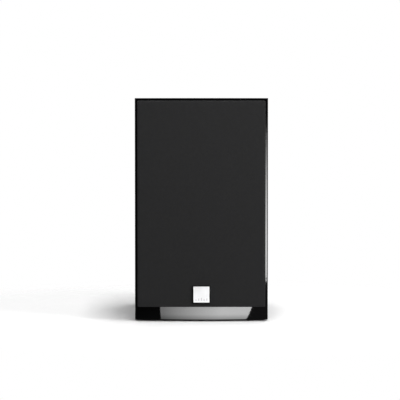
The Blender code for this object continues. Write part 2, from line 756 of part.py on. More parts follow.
def woofer_surround(at):
    """The rubber half roll between the cone and the basket."""
    low, high = LEDGE_DEPTH - GAP, LEDGE_DEPTH - GAP - SURROUND_THICKNESS
    inner_roll = ROLL_RADIUS - SURROUND_THICKNESS
    back, front = [], []
    for step in range(ROLL_SEGMENTS + 1):
        angle = math.pi * step / ROLL_SEGMENTS
        across, up = math.cos(angle), math.sin(angle)
        front.append((ROLL_CENTRE + ROLL_RADIUS * across, high - ROLL_RADIUS * up))
        back.append((ROLL_CENTRE + inner_roll * across, low - inner_roll * up))
    lip_in = CONE_RADIUS - CONE_LIP
    outline = [(SURROUND_OUTER, low), (SURROUND_OUTER, high), *front, (lip_in, high)]
    outline += [(lip_in, low), *reversed(back)]
    turned("woofer_surround", outline, "rubber", at, WOOFER_SIDES)


def woofer_cone(at):
    """The cone, from its flat rim to its neck on the voice coil."""
    rim_in = CONE_RADIUS - CONE_LIP
    outline = [
        (CONE_RADIUS, LEDGE_DEPTH),
        (CONE_RADIUS, LEDGE_DEPTH + CONE_THICKNESS),
        (rim_in, LEDGE_DEPTH + CONE_THICKNESS),
        (CONE_NECK_RADIUS, CONE_NECK_DEPTH + CONE_THICKNESS),
        (CONE_NECK_RADIUS, CONE_NECK_DEPTH),
        (rim_in, LEDGE_DEPTH),
    ]
    turned("woofer_cone", outline, "cone_paper", at, WOOFER_SIDES)


def dome_points(radius, rim, height, steps):
    """Points of a spherical cap from its rim to its apex, bulging forwards."""
    sphere = (radius**2 + height**2) / (2 * height)
    widest = math.asin(radius / sphere)
    for step in range(steps + 1):
        angle = widest * (1 - step / steps)
        yield sphere * math.sin(angle), rim - height + sphere * (1 - math.cos(angle))


def woofer_dust_cap(at):
    """The domed cap over the voice coil."""
    rim = cone_depth(DUST_CAP_RADIUS) - GAP
    outer = list(dome_points(DUST_CAP_RADIUS, rim, DUST_CAP_HEIGHT, 4))
    inner_radius = DUST_CAP_RADIUS - DUST_CAP_THICKNESS
    inner_height = DUST_CAP_HEIGHT - DUST_CAP_THICKNESS
    inner = list(dome_points(inner_radius, rim, inner_height, 4))
    turned("woofer_dust_cap", outer + inner[::-1], "cone_paper", at, WOOFER_SIDES)


def woofer_voice_coil(at):
    """The coil former, from the cone's neck into the magnet's gap."""
    start = CONE_NECK_DEPTH
    outer = COIL_RADIUS + COIL_WALL
    outline = [(COIL_RADIUS, start), (outer, start), (outer, COIL_END), (COIL_RADIUS, COIL_END)]
    turned("woofer_voice_coil", outline, "copper", at, WOOFER_SIDES)


def woofer_spider(at):
    """The corrugated cloth disc that centres the voice coil."""
    start, end = CONE_NECK_RADIUS, SPIDER_RADIUS
    low = SPIDER_DEPTH - GAP
    steps = 2 * SPIDER_WAVES
    rear = [
        (start + (end - start) * step / steps, low - SPIDER_WAVE * (step % 2))
        for step in range(steps + 1)
    ]
    front = [(radius, depth - SPIDER_THICKNESS) for radius, depth in reversed(rear)]
    turned("woofer_spider", rear + front, "spider_cloth", at, WOOFER_SIDES)


def woofer_motor(at):
    """Top plate, ring magnet, and the yoke whose pole stands in the coil."""
    plate_start = BASKET_DEPTH + GAP
    plate_end = plate_start + TOP_PLATE_THICKNESS
    magnet_start = plate_end + GAP
    magnet_end = magnet_start + MAGNET_THICKNESS
    yoke_start = magnet_end + GAP
    yoke_end = yoke_start + YOKE_THICKNESS
    ring(("woofer_top_plate", "plated_steel"), (PLATE_BORE, TOP_PLATE_RADIUS),
         (plate_start, plate_end), at, WOOFER_SIDES)
    ring(("woofer_magnet", "ferrite"), (MAGNET_BORE, MAGNET_RADIUS),
         (magnet_start, magnet_end), at, WOOFER_SIDES)
    yoke = [
        (YOKE_VENT_RADIUS, plate_start),
        (POLE_RADIUS, plate_start),
        (POLE_RADIUS, yoke_start),
        (YOKE_RADIUS, yoke_start),
        (YOKE_RADIUS, yoke_end),
        (YOKE_VENT_RADIUS, yoke_end),
    ]
    turned("woofer_yoke", yoke, "plated_steel", at, WOOFER_SIDES)


def ring(named, radii, depths, at, sides, turn=(0, 0, 0)):
    """A plain ring, given its name and finish, its radii and its depths."""
    (name, finish), (bore, outer), (start, end) = named, radii, depths
    outline = [(bore, start), (outer, start), (outer, end), (bore, end)]
    return turned(name, outline, finish, at, sides, turn)


def woofer():
    """The whole woofer, on its axis."""
    at = (0, woofer_y(), WOOFER_Z)
    for build in (
        woofer_basket,
        woofer_surround,
        woofer_cone,
        woofer_dust_cap,
        woofer_voice_coil,
        woofer_spider,
        woofer_motor,
    ):
        build(at)
    mesh = screw_mesh("woofer_screw", WOOFER_SCREW)
    for number, (x, z) in enumerate(woofer_screw_places(), 1):
        place(f"woofer_screw_{number}", mesh, "painted_steel", (x, at[1], z))


# ---- Tweeter -----------------------------------------------------------------


def tweeter():
    """The whole tweeter, on its axis."""
    at = (0, tweeter_y(), TWEETER_Z)
    faceplate = [
        (TWEETER_RADIUS, 0),
        (TWEETER_RADIUS, TWEETER_THICKNESS),
        (HORN_THROAT_RADIUS, TWEETER_THICKNESS),
        (HORN_THROAT_RADIUS, TWEETER_THICKNESS - HORN_LIP),
        (HORN_MOUTH_RADIUS, 0),
    ]
    plate = turned("tweeter_faceplate", faceplate, "black_plastic", at, TWEETER_SIDES)
    for x, z in tweeter_screw_places():
        cut(plate, screw_hole(TWEETER_SCREW, TWEETER_THICKNESS, (x, at[1], z)))
    tweeter_diaphragm(at)
    tweeter_motor(at)
    mesh = screw_mesh("tweeter_screw", TWEETER_SCREW)
    for number, (x, z) in enumerate(tweeter_screw_places(), 1):
        place(f"tweeter_screw_{number}", mesh, "painted_steel", (x, at[1], z))


def tweeter_diaphragm(at):
    """The silk dome and the small half roll that is formed with it."""
    lip_front = TWEETER_THICKNESS + GAP
    roll_centre = DOME_RADIUS + DOME_ROLL_RADIUS
    roll, roll_back = [], []
    for step in range(5):
        angle = math.pi * step / 4
        across, up = math.cos(angle), math.sin(angle)
        thin = DOME_ROLL_RADIUS - DOME_THICKNESS
        roll.append((roll_centre - DOME_ROLL_RADIUS * across, lip_front - DOME_ROLL_RADIUS * up))
        roll_back.append((roll_centre - thin * across, lip_front + DOME_THICKNESS - thin * up))
    height = DOME_RIM - DOME_APEX
    front = list(dome_points(DOME_RADIUS, DOME_RIM, height, 4))[1:]
    back_radius = DOME_RADIUS - DOME_THICKNESS
    back = list(dome_points(back_radius, DOME_RIM + DOME_THICKNESS, height, 4))
    lip = roll_centre + DOME_ROLL_RADIUS + DOME_LIP
    outline = [*reversed(front), *roll, (lip, lip_front), (lip, lip_front + DOME_THICKNESS)]
    outline += [*reversed(roll_back), *back]
    turned("tweeter_diaphragm", outline, "dome_silk", at, TWEETER_SIDES)


def tweeter_motor(at):
    """Voice coil, top plate, ring magnet and yoke."""
    coil_start = TWEETER_THICKNESS + GAP + DOME_THICKNESS + GAP
    coil = (DOME_RADIUS, DOME_RADIUS + TWEETER_COIL_WALL)
    coil_end = coil_start + TWEETER_COIL_LENGTH
    ring(("tweeter_voice_coil", "copper"), coil, (coil_start, coil_end), at, TWEETER_SIDES)
    plate_end = coil_start + TWEETER_PLATE_THICKNESS
    bore = coil[1] + POLE_CLEARANCE
    ring(("tweeter_top_plate", "plated_steel"), (bore, TWEETER_PLATE_RADIUS),
         (coil_start, plate_end), at, TWEETER_SIDES)
    magnet_start = plate_end + GAP
    magnet_end = magnet_start + TWEETER_MAGNET_THICKNESS
    ring(("tweeter_magnet", "ferrite"), (TWEETER_MAGNET_BORE, TWEETER_MAGNET_RADIUS),
         (magnet_start, magnet_end), at, TWEETER_SIDES)
    yoke_start = magnet_end + GAP
    yoke_end = yoke_start + TWEETER_PLATE_THICKNESS
    pole = DOME_RADIUS - POLE_CLEARANCE
    yoke = [
        (0, TWEETER_POLE_DEPTH),
        (pole, TWEETER_POLE_DEPTH),
        (pole, yoke_start),
        (TWEETER_PLATE_RADIUS, yoke_start),
        (TWEETER_PLATE_RADIUS, yoke_end),
        (0, yoke_end),
    ]
    turned("tweeter_yoke", yoke, "plated_steel", at, TWEETER_SIDES)


# ---- Rear fittings -----------------------------------------------------------


def port_tube():
    """The reflex tube, flared at both ends, with a flange on the rear panel."""
    steps = 4
    mouth = []
    for step in range(steps + 1):
        angle = math.pi / 2 * step / steps
        radius = PORT_RADIUS + PORT_FLARE * (1 - math.sin(angle))
        mouth.append((radius, PORT_FLANGE_THICKNESS - PORT_FLARE * (1 - math.cos(angle))))
    collar = PORT_RADIUS + PORT_FLARE + PORT_WALL
    outer = PORT_RADIUS + PORT_WALL
    inner_end = -PORT_LENGTH
    outline = [
        (PORT_FLANGE_RADIUS, GAP),
        (PORT_FLANGE_RADIUS, PORT_FLANGE_THICKNESS / 2),
        (PORT_FLANGE_RADIUS - PORT_FLANGE_THICKNESS / 2, PORT_FLANGE_THICKNESS),
        *mouth,
        (PORT_RADIUS, inner_end + PORT_INNER_FLARE * 2),
        (PORT_RADIUS + PORT_INNER_FLARE, inner_end),
        (outer + PORT_INNER_FLARE, inner_end),
        (outer, inner_end + PORT_INNER_FLARE * 2),
        (outer, -PORT_COLLAR_DEPTH - PORT_WALL),
        (collar, -PORT_COLLAR_DEPTH),
        (collar, GAP),
    ]
    turned("port_tube", outline, "black_plastic", (0, REAR_Y, PORT_Z), PORT_SIDES)


def terminal_screw_places():
    """(x, z) of each screw in the terminal cup's flange."""
    half_x = CUP_FLANGE_WIDTH / 2 - TERMINAL_SCREW_INSET
    half_z = CUP_FLANGE_HEIGHT / 2 - TERMINAL_SCREW_INSET
    return [
        (sign_x * half_x, TERMINAL_Z + sign_z * half_z)
        for sign_z in (-1, 1)
        for sign_x in (-1, 1)
    ]


def post_places():
    """x of each binding post, by colour."""
    return {"red": -POST_SPACING / 2, "black": POST_SPACING / 2}


def terminal_cup():
    """The moulded dish in the rear panel that holds the binding posts."""
    middle = (0, TERMINAL_Z)
    face_y = REAR_Y + GAP + CUP_FLANGE_THICKNESS
    flange = rounded_outline(CUP_FLANGE_WIDTH, CUP_FLANGE_HEIGHT, CUP_CORNER, middle)
    mesh = prism_mesh("terminal_cup", flange, REAR_Y + GAP, face_y)
    cup = place("terminal_cup", mesh, "black_plastic")
    body = rounded_outline(
        DISH_WIDTH + 2 * DISH_WALL, DISH_HEIGHT + 2 * DISH_WALL, DISH_CORNER + DISH_WALL, middle
    )
    middle_of_flange = REAR_Y + GAP + CUP_FLANGE_THICKNESS / 2
    join(cup, block_cutter(body, DISH_FLOOR_Y - DISH_WALL, middle_of_flange), "UNION")
    dish = rounded_outline(DISH_WIDTH, DISH_HEIGHT, DISH_CORNER, middle)
    cut(cup, block_cutter(dish, DISH_FLOOR_Y, face_y + DISH_WALL))
    for x in post_places().values():
        at = (x, DISH_FLOOR_Y, TERMINAL_Z)
        cut(cup, drill(STUD_RADIUS + GAP, -DISH_WALL * 2, DISH_WALL, at, SCREW_SIDES))
    for x, z in terminal_screw_places():
        seat = (x, face_y, z)
        cut(cup, screw_hole(TERMINAL_SCREW, CUP_FLANGE_THICKNESS, seat, outward=True))
    mesh = screw_mesh("terminal_screw", TERMINAL_SCREW)
    for number, (x, z) in enumerate(terminal_screw_places(), 1):
        seat = (x, face_y, z)
        place(f"terminal_screw_{number}", mesh, "painted_steel", seat, (0, 0, math.pi))


def binding_posts():
    """For each colour, a stud, a loose clamp washer and a screwed cap."""
    flange_end = GAP + STUD_FLANGE_THICKNESS
    cap_end = DISH_DEPTH + POST_PROUD
    stud_end = cap_end - STUD_RECESS
    washer = (flange_end + GAP, flange_end + GAP + WASHER_THICKNESS)
    cap = (washer[1] + GAP, cap_end)
    bore_end = stud_end - STUD_BORE_DEPTH
    stud = [
        (0, -STUD_INNER_LENGTH),
        (STUD_RADIUS, -STUD_INNER_LENGTH),
        (STUD_RADIUS, GAP),
        (STUD_FLANGE_RADIUS, GAP),
        (STUD_FLANGE_RADIUS, flange_end),
        (STUD_RADIUS, flange_end),
        (STUD_RADIUS, stud_end),
        (STUD_BORE, stud_end),
        (STUD_BORE, bore_end),
        (0, bore_end),
    ]
    bore = STUD_RADIUS + GAP
    hole_depth = flange_end + GAP + WIRE_HOLE_RADIUS
    upright = (math.pi / 2, 0, 0)
    for colour, x in post_places().items():
        at = (x, DISH_FLOOR_Y, TERMINAL_Z)
        finish = "red_plastic" if colour == "red" else "black_plastic"
        post = turned(f"post_{colour}_stud", stud, "gold_plate", at, SCREW_SIDES)
        across = (x, DISH_FLOOR_Y + hole_depth, TERMINAL_Z)
        reach = STUD_RADIUS * 2
        cut(post, drill(WIRE_HOLE_RADIUS, -reach, reach, across, SCREW_SIDES, upright))
        ring((f"post_{colour}_washer", "gold_plate"), (bore, WASHER_RADIUS),
             washer, at, SCREW_SIDES)
        ring((f"post_{colour}_cap", finish), (bore, CAP_RADIUS), cap, at, PORT_SIDES)


def crossover():
    """The filter board with its coils, capacitor and resistor, behind the posts."""
    outline = box_outline(BOARD_WIDTH, BOARD_HEIGHT, (0, TERMINAL_Z))
    mesh = prism_mesh("crossover_board", outline, BOARD_FRONT_Y, BOARD_REAR_Y)
    board = place("crossover_board", mesh, "board_green")
    for x in post_places().values():
        at = (x, BOARD_REAR_Y, TERMINAL_Z)
        reach = BOARD_THICKNESS * 3
        cut(board, drill(STUD_RADIUS + GAP, -reach, reach, at, SCREW_SIDES))
    seat_y = BOARD_FRONT_Y - GAP
    quarter_x, quarter_z = BOARD_WIDTH * 0.29, BOARD_HEIGHT / 4
    bore, radius, width = WOOFER_COIL_SIZE
    at = (-quarter_x, seat_y - width, TERMINAL_Z + quarter_z)
    ring(("inductor_woofer", "copper"), (bore, radius), (0, width), at, PORT_SIDES)
    bore, radius, width = TWEETER_COIL_SIZE
    at = (quarter_x - width / 2, seat_y - radius, TERMINAL_Z + quarter_z)
    sideways = (0, 0, -math.pi / 2)
    ring(("inductor_tweeter", "copper"), (bore, radius), (0, width), at, PORT_SIDES, sideways)
    outline = [(0, 0), (CAPACITOR_RADIUS, 0)]
    outline += [(CAPACITOR_RADIUS, CAPACITOR_LENGTH), (0, CAPACITOR_LENGTH)]
    half = CAPACITOR_LENGTH / 2
    at = (-quarter_x - half, seat_y - CAPACITOR_RADIUS, TERMINAL_Z - quarter_z - GAP * 10)
    turned("capacitor", outline, "capacitor_film", at, PORT_SIDES, sideways)
    length, depth, height = RESISTOR_SIZE
    middle = (quarter_x, TERMINAL_Z - quarter_z - GAP * 10)
    mesh = prism_mesh("resistor", box_outline(length, height, middle), seat_y - depth, seat_y)
    place("resistor", mesh, "white_cement")


def smooth_route(points, per_span):
    """Points on a smooth curve through the given ones."""
    padded = [2 * points[0] - points[1], *points, 2 * points[-1] - points[-2]]
    route = []
    for before, start, end, after in zip(padded, padded[1:], padded[2:], padded[3:]):
        for step in range(per_span):
            t = step / per_span
            route.append(
                0.5
                * (
                    2 * start
                    + (end - before) * t
                    + (2 * before - 5 * start + 4 * end - after) * t**2
                    + (3 * start - before - 3 * end + after) * t**3
                )
            )
    return [*route, points[-1]]


def lead(name, points):
    """A round two-core lead along a smooth route."""
    curve = bpy.data.curves.new(name, "CURVE")
    curve.dimensions = "3D"
    curve.bevel_depth = LEAD_RADIUS
    curve.bevel_resolution = 2
    curve.use_fill_caps = True
    route = smooth_route([Vector(point) for point in points], 6)
    spline = curve.splines.new("POLY")
    spline.points.add(len(route) - 1)
    for point, place_at in zip(spline.points, route):
        point.co = (*place_at, 1)
    place(name, curve, "rubber")


def leads():
    """The two leads that run from the crossover to the drivers."""
    board_y = BOARD_FRONT_Y - 2 * LEAD_RADIUS
    low_z = BOTTOM_Z + PANEL_THICKNESS + 3 * LEAD_RADIUS
    basket_rear = woofer_y() + BASKET_DEPTH
    tag_z = WOOFER_Z - BASKET_NECK_RADIUS - BASKET_WALL - 3 * LEAD_RADIUS
    lead(
        "woofer_lead",
        [
            (0.003, board_y, TERMINAL_Z - 0.016),
            (0.005, board_y - 0.014, TERMINAL_Z - 0.022),
            (0.024, board_y - 0.045, low_z + 0.006),
            (0.018, basket_rear + 0.045, low_z),
            (0.006, basket_rear + 0.010, low_z + 0.010),
            (0.000, basket_rear - 0.006, tag_z),
        ],
    )
    yoke_rear = (
        tweeter_y() + TWEETER_THICKNESS + TWEETER_MAGNET_THICKNESS
        + 2 * TWEETER_PLATE_THICKNESS + DOME_THICKNESS + 4 * GAP
    )
    lead(
        "tweeter_lead",
        [
            (0.038, board_y, TERMINAL_Z + 0.028),
            (0.042, board_y - 0.012, TERMINAL_Z + 0.036),
            (0.052, board_y - 0.040, TERMINAL_Z + 0.062),
            (0.054, 0.0, (TERMINAL_Z + TWEETER_Z) / 2 + 0.024),
            (0.044, yoke_rear + 0.040, TWEETER_Z - 0.026),
            (0.026, yoke_rear + 0.012, TWEETER_Z - 0.013),
            (0.020, yoke_rear + 2 * GAP, TWEETER_Z - 0.010),
        ],
    )


def damping_wadding():
    """The soft wadding that lies under the top panel."""
    width = CABINET_WIDTH - 2 * (PANEL_THICKNESS + WADDING_MARGIN)
    top = TOP_Z - PANEL_THICKNESS - GAP
    motor = TWEETER_THICKNESS + TWEETER_MAGNET_THICKNESS + 2 * TWEETER_PLATE_THICKNESS
    start = tweeter_y() + motor + 2 * WADDING_MARGIN
    end = REAR_Y - REAR_THICKNESS - WADDING_MARGIN
    outline = rounded_outline(
        width, WADDING_THICKNESS, WADDING_THICKNESS / 3, (0, top - WADDING_THICKNESS / 2)
    )
    place("damping_wadding", prism_mesh("damping_wadding", outline, start, end), "wadding")


def main():
    """Clears the scene and builds the speaker."""
    for obj in list(bpy.data.objects):
        bpy.data.objects.remove(obj)
    front_baffle()
    sleeve()
    rear_panel()
    feet()
    grille_frame()
    grille_cloth()
    badge()
    grille_cups()
    woofer()
    tweeter()
    port_tube()
    terminal_cup()
    binding_posts()
    crossover()
    leads()
    damping_wadding()


main()
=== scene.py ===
"""The looks of a compact bookshelf speaker: fine pieces over the packed model, and its studio."""

import logging
import math
from dataclasses import dataclass, field
from enum import Enum
from typing import Callable, Iterable, Sequence

import bmesh
import bpy
from mathutils import Matrix, Vector
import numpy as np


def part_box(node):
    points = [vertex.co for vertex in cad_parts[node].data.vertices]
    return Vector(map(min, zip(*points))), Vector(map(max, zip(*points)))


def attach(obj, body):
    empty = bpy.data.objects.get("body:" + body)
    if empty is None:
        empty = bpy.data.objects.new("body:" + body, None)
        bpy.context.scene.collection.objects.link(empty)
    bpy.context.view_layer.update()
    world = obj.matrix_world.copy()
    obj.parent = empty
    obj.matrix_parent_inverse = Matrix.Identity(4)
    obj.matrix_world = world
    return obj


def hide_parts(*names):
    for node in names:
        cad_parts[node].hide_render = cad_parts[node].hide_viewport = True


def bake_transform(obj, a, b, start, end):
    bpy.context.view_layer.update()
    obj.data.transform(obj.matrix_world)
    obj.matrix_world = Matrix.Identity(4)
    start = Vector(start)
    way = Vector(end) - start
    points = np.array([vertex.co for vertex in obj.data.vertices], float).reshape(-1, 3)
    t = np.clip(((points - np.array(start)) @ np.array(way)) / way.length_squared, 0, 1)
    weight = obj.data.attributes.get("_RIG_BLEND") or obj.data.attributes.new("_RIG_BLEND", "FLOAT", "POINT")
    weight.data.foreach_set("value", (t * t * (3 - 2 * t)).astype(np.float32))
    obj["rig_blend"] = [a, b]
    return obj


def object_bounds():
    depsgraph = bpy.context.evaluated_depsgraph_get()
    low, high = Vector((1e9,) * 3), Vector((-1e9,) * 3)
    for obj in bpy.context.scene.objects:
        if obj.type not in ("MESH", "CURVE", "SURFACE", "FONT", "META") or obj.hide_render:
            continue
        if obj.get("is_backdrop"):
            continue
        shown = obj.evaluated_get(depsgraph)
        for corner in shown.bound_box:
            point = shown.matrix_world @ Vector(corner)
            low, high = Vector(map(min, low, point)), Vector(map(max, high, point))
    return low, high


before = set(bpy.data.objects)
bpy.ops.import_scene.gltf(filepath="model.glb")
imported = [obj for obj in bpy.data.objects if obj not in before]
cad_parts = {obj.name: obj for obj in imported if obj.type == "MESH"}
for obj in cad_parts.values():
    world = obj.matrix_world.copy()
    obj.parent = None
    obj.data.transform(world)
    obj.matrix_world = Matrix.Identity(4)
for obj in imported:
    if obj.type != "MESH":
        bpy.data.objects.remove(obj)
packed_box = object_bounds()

log = logging.getLogger("speaker")

Colour = tuple[float, float, float]
Outline = list[tuple[float, float]]
Socket = bpy.types.NodeSocket

ROUND_SIDES = 128
FINE_SIDES = 48
SCREW_SIDES = 28
SHARP_ANGLE = math.radians(38)
MERGE = 1e-7
EVEN_WEIGHT = 80


# ---- Places ------------------------------------------------------------------


@dataclass(frozen=True)
class Span:
    """The box that one or more packed nodes fill at rest."""

    low: Vector
    high: Vector

    @classmethod
    def of(cls, *nodes: str) -> "Span":
        """The box round the named nodes.

        Args:
            nodes: The packed nodes' names.

        Returns:
            The box.
        """
        boxes = [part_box(node) for node in nodes]
        low = Vector(min(box[0][axis] for box in boxes) for axis in range(3))
        high = Vector(max(box[1][axis] for box in boxes) for axis in range(3))
        return cls(low, high)

    @property
    def middle(self) -> Vector:
        """The box's centre."""
        return (self.low + self.high) / 2

    @property
    def size(self) -> Vector:
        """The box's three sides."""
        return self.high - self.low

    @property
    def front(self) -> Vector:
        """The middle of the box's front face."""
        return Vector((self.middle.x, self.low.y, self.middle.z))


def linked(name: str, data: bpy.types.ID) -> bpy.types.Object:
    """A new object in the scene that shows the data.

    Args:
        name: The object's name.
        data: Its mesh, light or camera.

    Returns:
        The object.
    """
    obj = bpy.data.objects.new(name, data)
    bpy.context.scene.collection.objects.link(obj)
    return obj


# ---- Shader tools ------------------------------------------------------------


class Tree:
    """A node tree with short ways to add and join nodes."""

    def __init__(self, tree: bpy.types.NodeTree) -> None:
        """Takes over the tree."""
        self.tree = tree

    def add(self, kind: str, inputs: dict | None = None, **settings: object) -> bpy.types.Node:
        """Adds a node.

        Args:
            kind: The node's type, without its ShaderNode prefix.
            inputs: A value or a socket to join, by input name or number.
            settings: The node's own properties.

        Returns:
            The new node.
        """
        node = self.tree.nodes.new("ShaderNode" + kind)
        for name, value in settings.items():
            setattr(node, name, value)
        for name, value in (inputs or {}).items():
            if isinstance(value, bpy.types.NodeSocket):
                self.tree.links.new(value, node.inputs[name])
            else:
                node.inputs[name].default_value = value
        return node

    def math(self, operation: str, *values: float | Socket, clamp: bool = False) -> Socket:
        """The result of one math node on the values."""
        node = self.add("Math", dict(enumerate(values)), operation=operation, use_clamp=clamp)
        return node.outputs[0]

    def noise(self, vector: Socket, scale: float | Socket, detail: float = 2.0) -> Socket:
        """Smooth noise from 0 to 1."""
        inputs = {"Vector": vector, "Scale": scale, "Detail": detail}
        return self.add("TexNoise", inputs).outputs["Fac"]

    def ramp(self, value: Socket, low: float, high: float) -> Socket:
        """The value stretched so that low gives 0 and high gives 1."""
        inputs = {"Value": value, "From Min": low, "From Max": high}
        return self.add("MapRange", inputs).outputs["Result"]

    def blend(self, factor: float | Socket, first: Colour, second: Colour) -> Socket:
        """A colour between the two.

        Args:
            factor: 0 for the first colour and 1 for the second.
            first: The first colour.
            second: The second colour.

        Returns:
            The mixed colour.
        """
        node = self.add("Mix", {0: factor}, data_type="RGBA")
        node.inputs[6].default_value = (*first, 1.0)
        node.inputs[7].default_value = (*second, 1.0)
        return node.outputs[2]


class Effect:
    """A shader node group that several finishes share."""

    made: dict[str, bpy.types.NodeTree] = {}

    def __init__(self, name: str, takes: dict[str, str], gives: Sequence[str],
                 fill: Callable[[Tree, dict[str, Socket]], dict[str, Socket]]) -> None:
        """Describes the group.

        Args:
            name: The group's name.
            takes: The kind of each input socket, by name.
            gives: The names of the outputs, which are all values.
            fill: Adds the nodes, given the inputs, and returns the outputs.
        """
        self.name, self.takes, self.gives, self.fill = name, takes, gives, fill

    def group(self) -> bpy.types.NodeTree:
        """The node group, made the first time.

        Returns:
            The group's node tree.
        """
        if self.name in self.made:
            return self.made[self.name]
        group = bpy.data.node_groups.new(self.name, "ShaderNodeTree")
        for name, kind in self.takes.items():
            group.interface.new_socket(name, in_out="INPUT", socket_type="NodeSocket" + kind)
        for name in self.gives:
            group.interface.new_socket(name, in_out="OUTPUT", socket_type="NodeSocketFloat")
        tree = Tree(group)
        start = group.nodes.new("NodeGroupInput")
        end = group.nodes.new("NodeGroupOutput")
        results = self.fill(tree, {name: start.outputs[name] for name in self.takes})
        for name, value in results.items():
            group.links.new(value, end.inputs[name])
        self.made[self.name] = group
        return group

    def use(self, tree: Tree, **inputs: float | Socket) -> dict[str, Socket]:
        """Places the group in a material.

        Args:
            tree: The material's nodes.
            inputs: A value or socket for each of the group's inputs.

        Returns:
            The group's outputs by name.
        """
        node = tree.add("Group", node_tree=self.group())
        for name, value in inputs.items():
            if isinstance(value, bpy.types.NodeSocket):
                tree.tree.links.new(value, node.inputs[name])
            else:
                node.inputs[name].default_value = value
        return {name: node.outputs[name] for name in self.gives}


def scaled(tree: Tree, vector: Socket, size: Socket) -> Socket:
    """The vector counted in steps of that size."""
    steps = tree.math("DIVIDE", 1.0, size)
    return tree.add("VectorMath", {0: vector, "Scale": steps}, operation="SCALE").outputs[0]


def fill_skin(tree: Tree, given: dict[str, Socket]) -> dict[str, Socket]:
    """A fine moulded or sprayed skin, and the slow mottle across it.

    Args:
        tree: The nodes to add to.
        given: The group's inputs by name.

    Returns:
        The group's outputs by name.
    """
    vector = scaled(tree, given["Vector"], given["Size"])
    return {
        "Height": tree.noise(vector, 1.0, 2.0),
        "Mottle": tree.noise(vector, 0.035, 3.0),
    }


def fill_weave(tree: Tree, given: dict[str, Socket]) -> dict[str, Socket]:
    """A plain weave: threads that pass over and under one another.

    Args:
        tree: The nodes to add to.
        given: The group's inputs by name.

    Returns:
        The group's outputs by name.
    """
    wander = tree.add("TexNoise", {"Vector": given["Vector"], "Scale": 420.0, "Detail": 1.0})
    shift = tree.add("VectorMath", {0: wander.outputs["Color"], "Scale": 0.35}, operation="SCALE")
    cells = scaled(tree, given["Vector"], given["Pitch"])
    moved = tree.add("VectorMath", {0: cells, 1: shift.outputs[0]}, operation="ADD")
    parts = tree.add("SeparateXYZ", {0: moved.outputs[0]})
    across, along = parts.outputs[0], parts.outputs[1]
    warp = tree.math("ABSOLUTE", tree.math("SINE", tree.math("MULTIPLY", across, math.pi)))
    weft = tree.math("ABSOLUTE", tree.math("SINE", tree.math("MULTIPLY", along, math.pi)))
    count = tree.math("ADD", tree.math("FLOOR", across), tree.math("FLOOR", along))
    over = tree.math("FLOORED_MODULO", count, 2.0)
    warp_top = tree.math("MULTIPLY", warp, tree.math("MULTIPLY_ADD", weft, 0.45, 0.55))
    weft_top = tree.math("MULTIPLY", weft, tree.math("MULTIPLY_ADD", warp, 0.45, 0.55))
    height = tree.add("Mix", {0: over, 2: warp_top, 3: weft_top}).outputs[0]
    open_warp = tree.math("SUBTRACT", 1.0, warp)
    open_weft = tree.math("SUBTRACT", 1.0, weft)
    return {"Height": height, "Gap": tree.math("MULTIPLY", open_warp, open_weft)}


def fill_grain(tree: Tree, given: dict[str, Socket]) -> dict[str, Socket]:
    """Wood grain whose pores run along the vector's first axis.

    Args:
        tree: The nodes to add to.
        given: The group's inputs by name.

    Returns:
        The group's outputs by name.
    """
    warp = tree.noise(given["Vector"], 9.0, 2.0)
    parts = tree.add("SeparateXYZ", {0: given["Vector"]})
    sway = tree.math("MULTIPLY_ADD", warp, 0.012, parts.outputs[1])
    long_way = tree.math("DIVIDE", parts.outputs[0], given["Stretch"])
    flow = tree.add("CombineXYZ", {0: long_way, 1: sway, 2: parts.outputs[2]}).outputs[0]
    pores = tree.noise(flow, 1500.0, 2.0)
    bands = tree.noise(flow, 160.0, 4.0)
    return {
        "Pore": tree.ramp(pores, 0.56, 0.68),
        "Band": tree.ramp(bands, 0.35, 0.65),
    }


def fill_handling(tree: Tree, given: dict[str, Socket]) -> dict[str, Socket]:
    """Faint smears from handling, and settled dust.

    Args:
        tree: The nodes to add to.
        given: The group's inputs by name.

    Returns:
        The group's outputs by name.
    """
    smear = tree.noise(given["Vector"], 38.0, 5.0)
    specks = tree.add("TexVoronoi", {"Vector": given["Vector"], "Scale": 900.0})
    dust = tree.math("SUBTRACT", 1.0, tree.ramp(specks.outputs["Distance"], 0.05, 0.14))
    rare = tree.ramp(tree.noise(given["Vector"], 300.0, 1.0), 0.62, 0.66)
    return {
        "Smear": tree.ramp(smear, 0.45, 0.72),
        "Dust": tree.math("MULTIPLY", dust, rare, clamp=True),
    }


def fill_rings(tree: Tree, given: dict[str, Socket]) -> dict[str, Socket]:
    """Rings about the Y axis through the vector's origin, and bands along it.

    Args:
        tree: The nodes to add to.
        given: The group's inputs by name.

    Returns:
        The group's outputs by name.
    """
    parts = tree.add("SeparateXYZ", {0: given["Vector"]})
    flat = tree.add("CombineXYZ", {0: parts.outputs[0], 2: parts.outputs[2]})
    radius = tree.add("VectorMath", {0: flat.outputs[0]}, operation="LENGTH").outputs["Value"]
    turn = tree.math("DIVIDE", 2 * math.pi, given["Pitch"])
    return {
        "Ring": tree.math("SINE", tree.math("MULTIPLY", radius, turn)),
        "Band": tree.math("SINE", tree.math("MULTIPLY", parts.outputs[1], turn)),
    }


SKIN = Effect("skin", {"Vector": "Vector", "Size": "Float"}, ("Height", "Mottle"), fill_skin)
WEAVE = Effect("weave", {"Vector": "Vector", "Pitch": "Float"}, ("Height", "Gap"), fill_weave)
GRAIN = Effect("grain", {"Vector": "Vector", "Stretch": "Float"}, ("Pore", "Band"), fill_grain)
HANDLING = Effect("handling", {"Vector": "Vector"}, ("Smear", "Dust"), fill_handling)
RINGS = Effect("rings", {"Vector": "Vector", "Pitch": "Float"}, ("Ring", "Band"), fill_rings)


# ---- Finishes ----------------------------------------------------------------


class Run(Enum):
    """Where a pattern takes its directions from."""

    PLACE = "object"
    SURFACE = "uv"
    UPRIGHT = "upright"


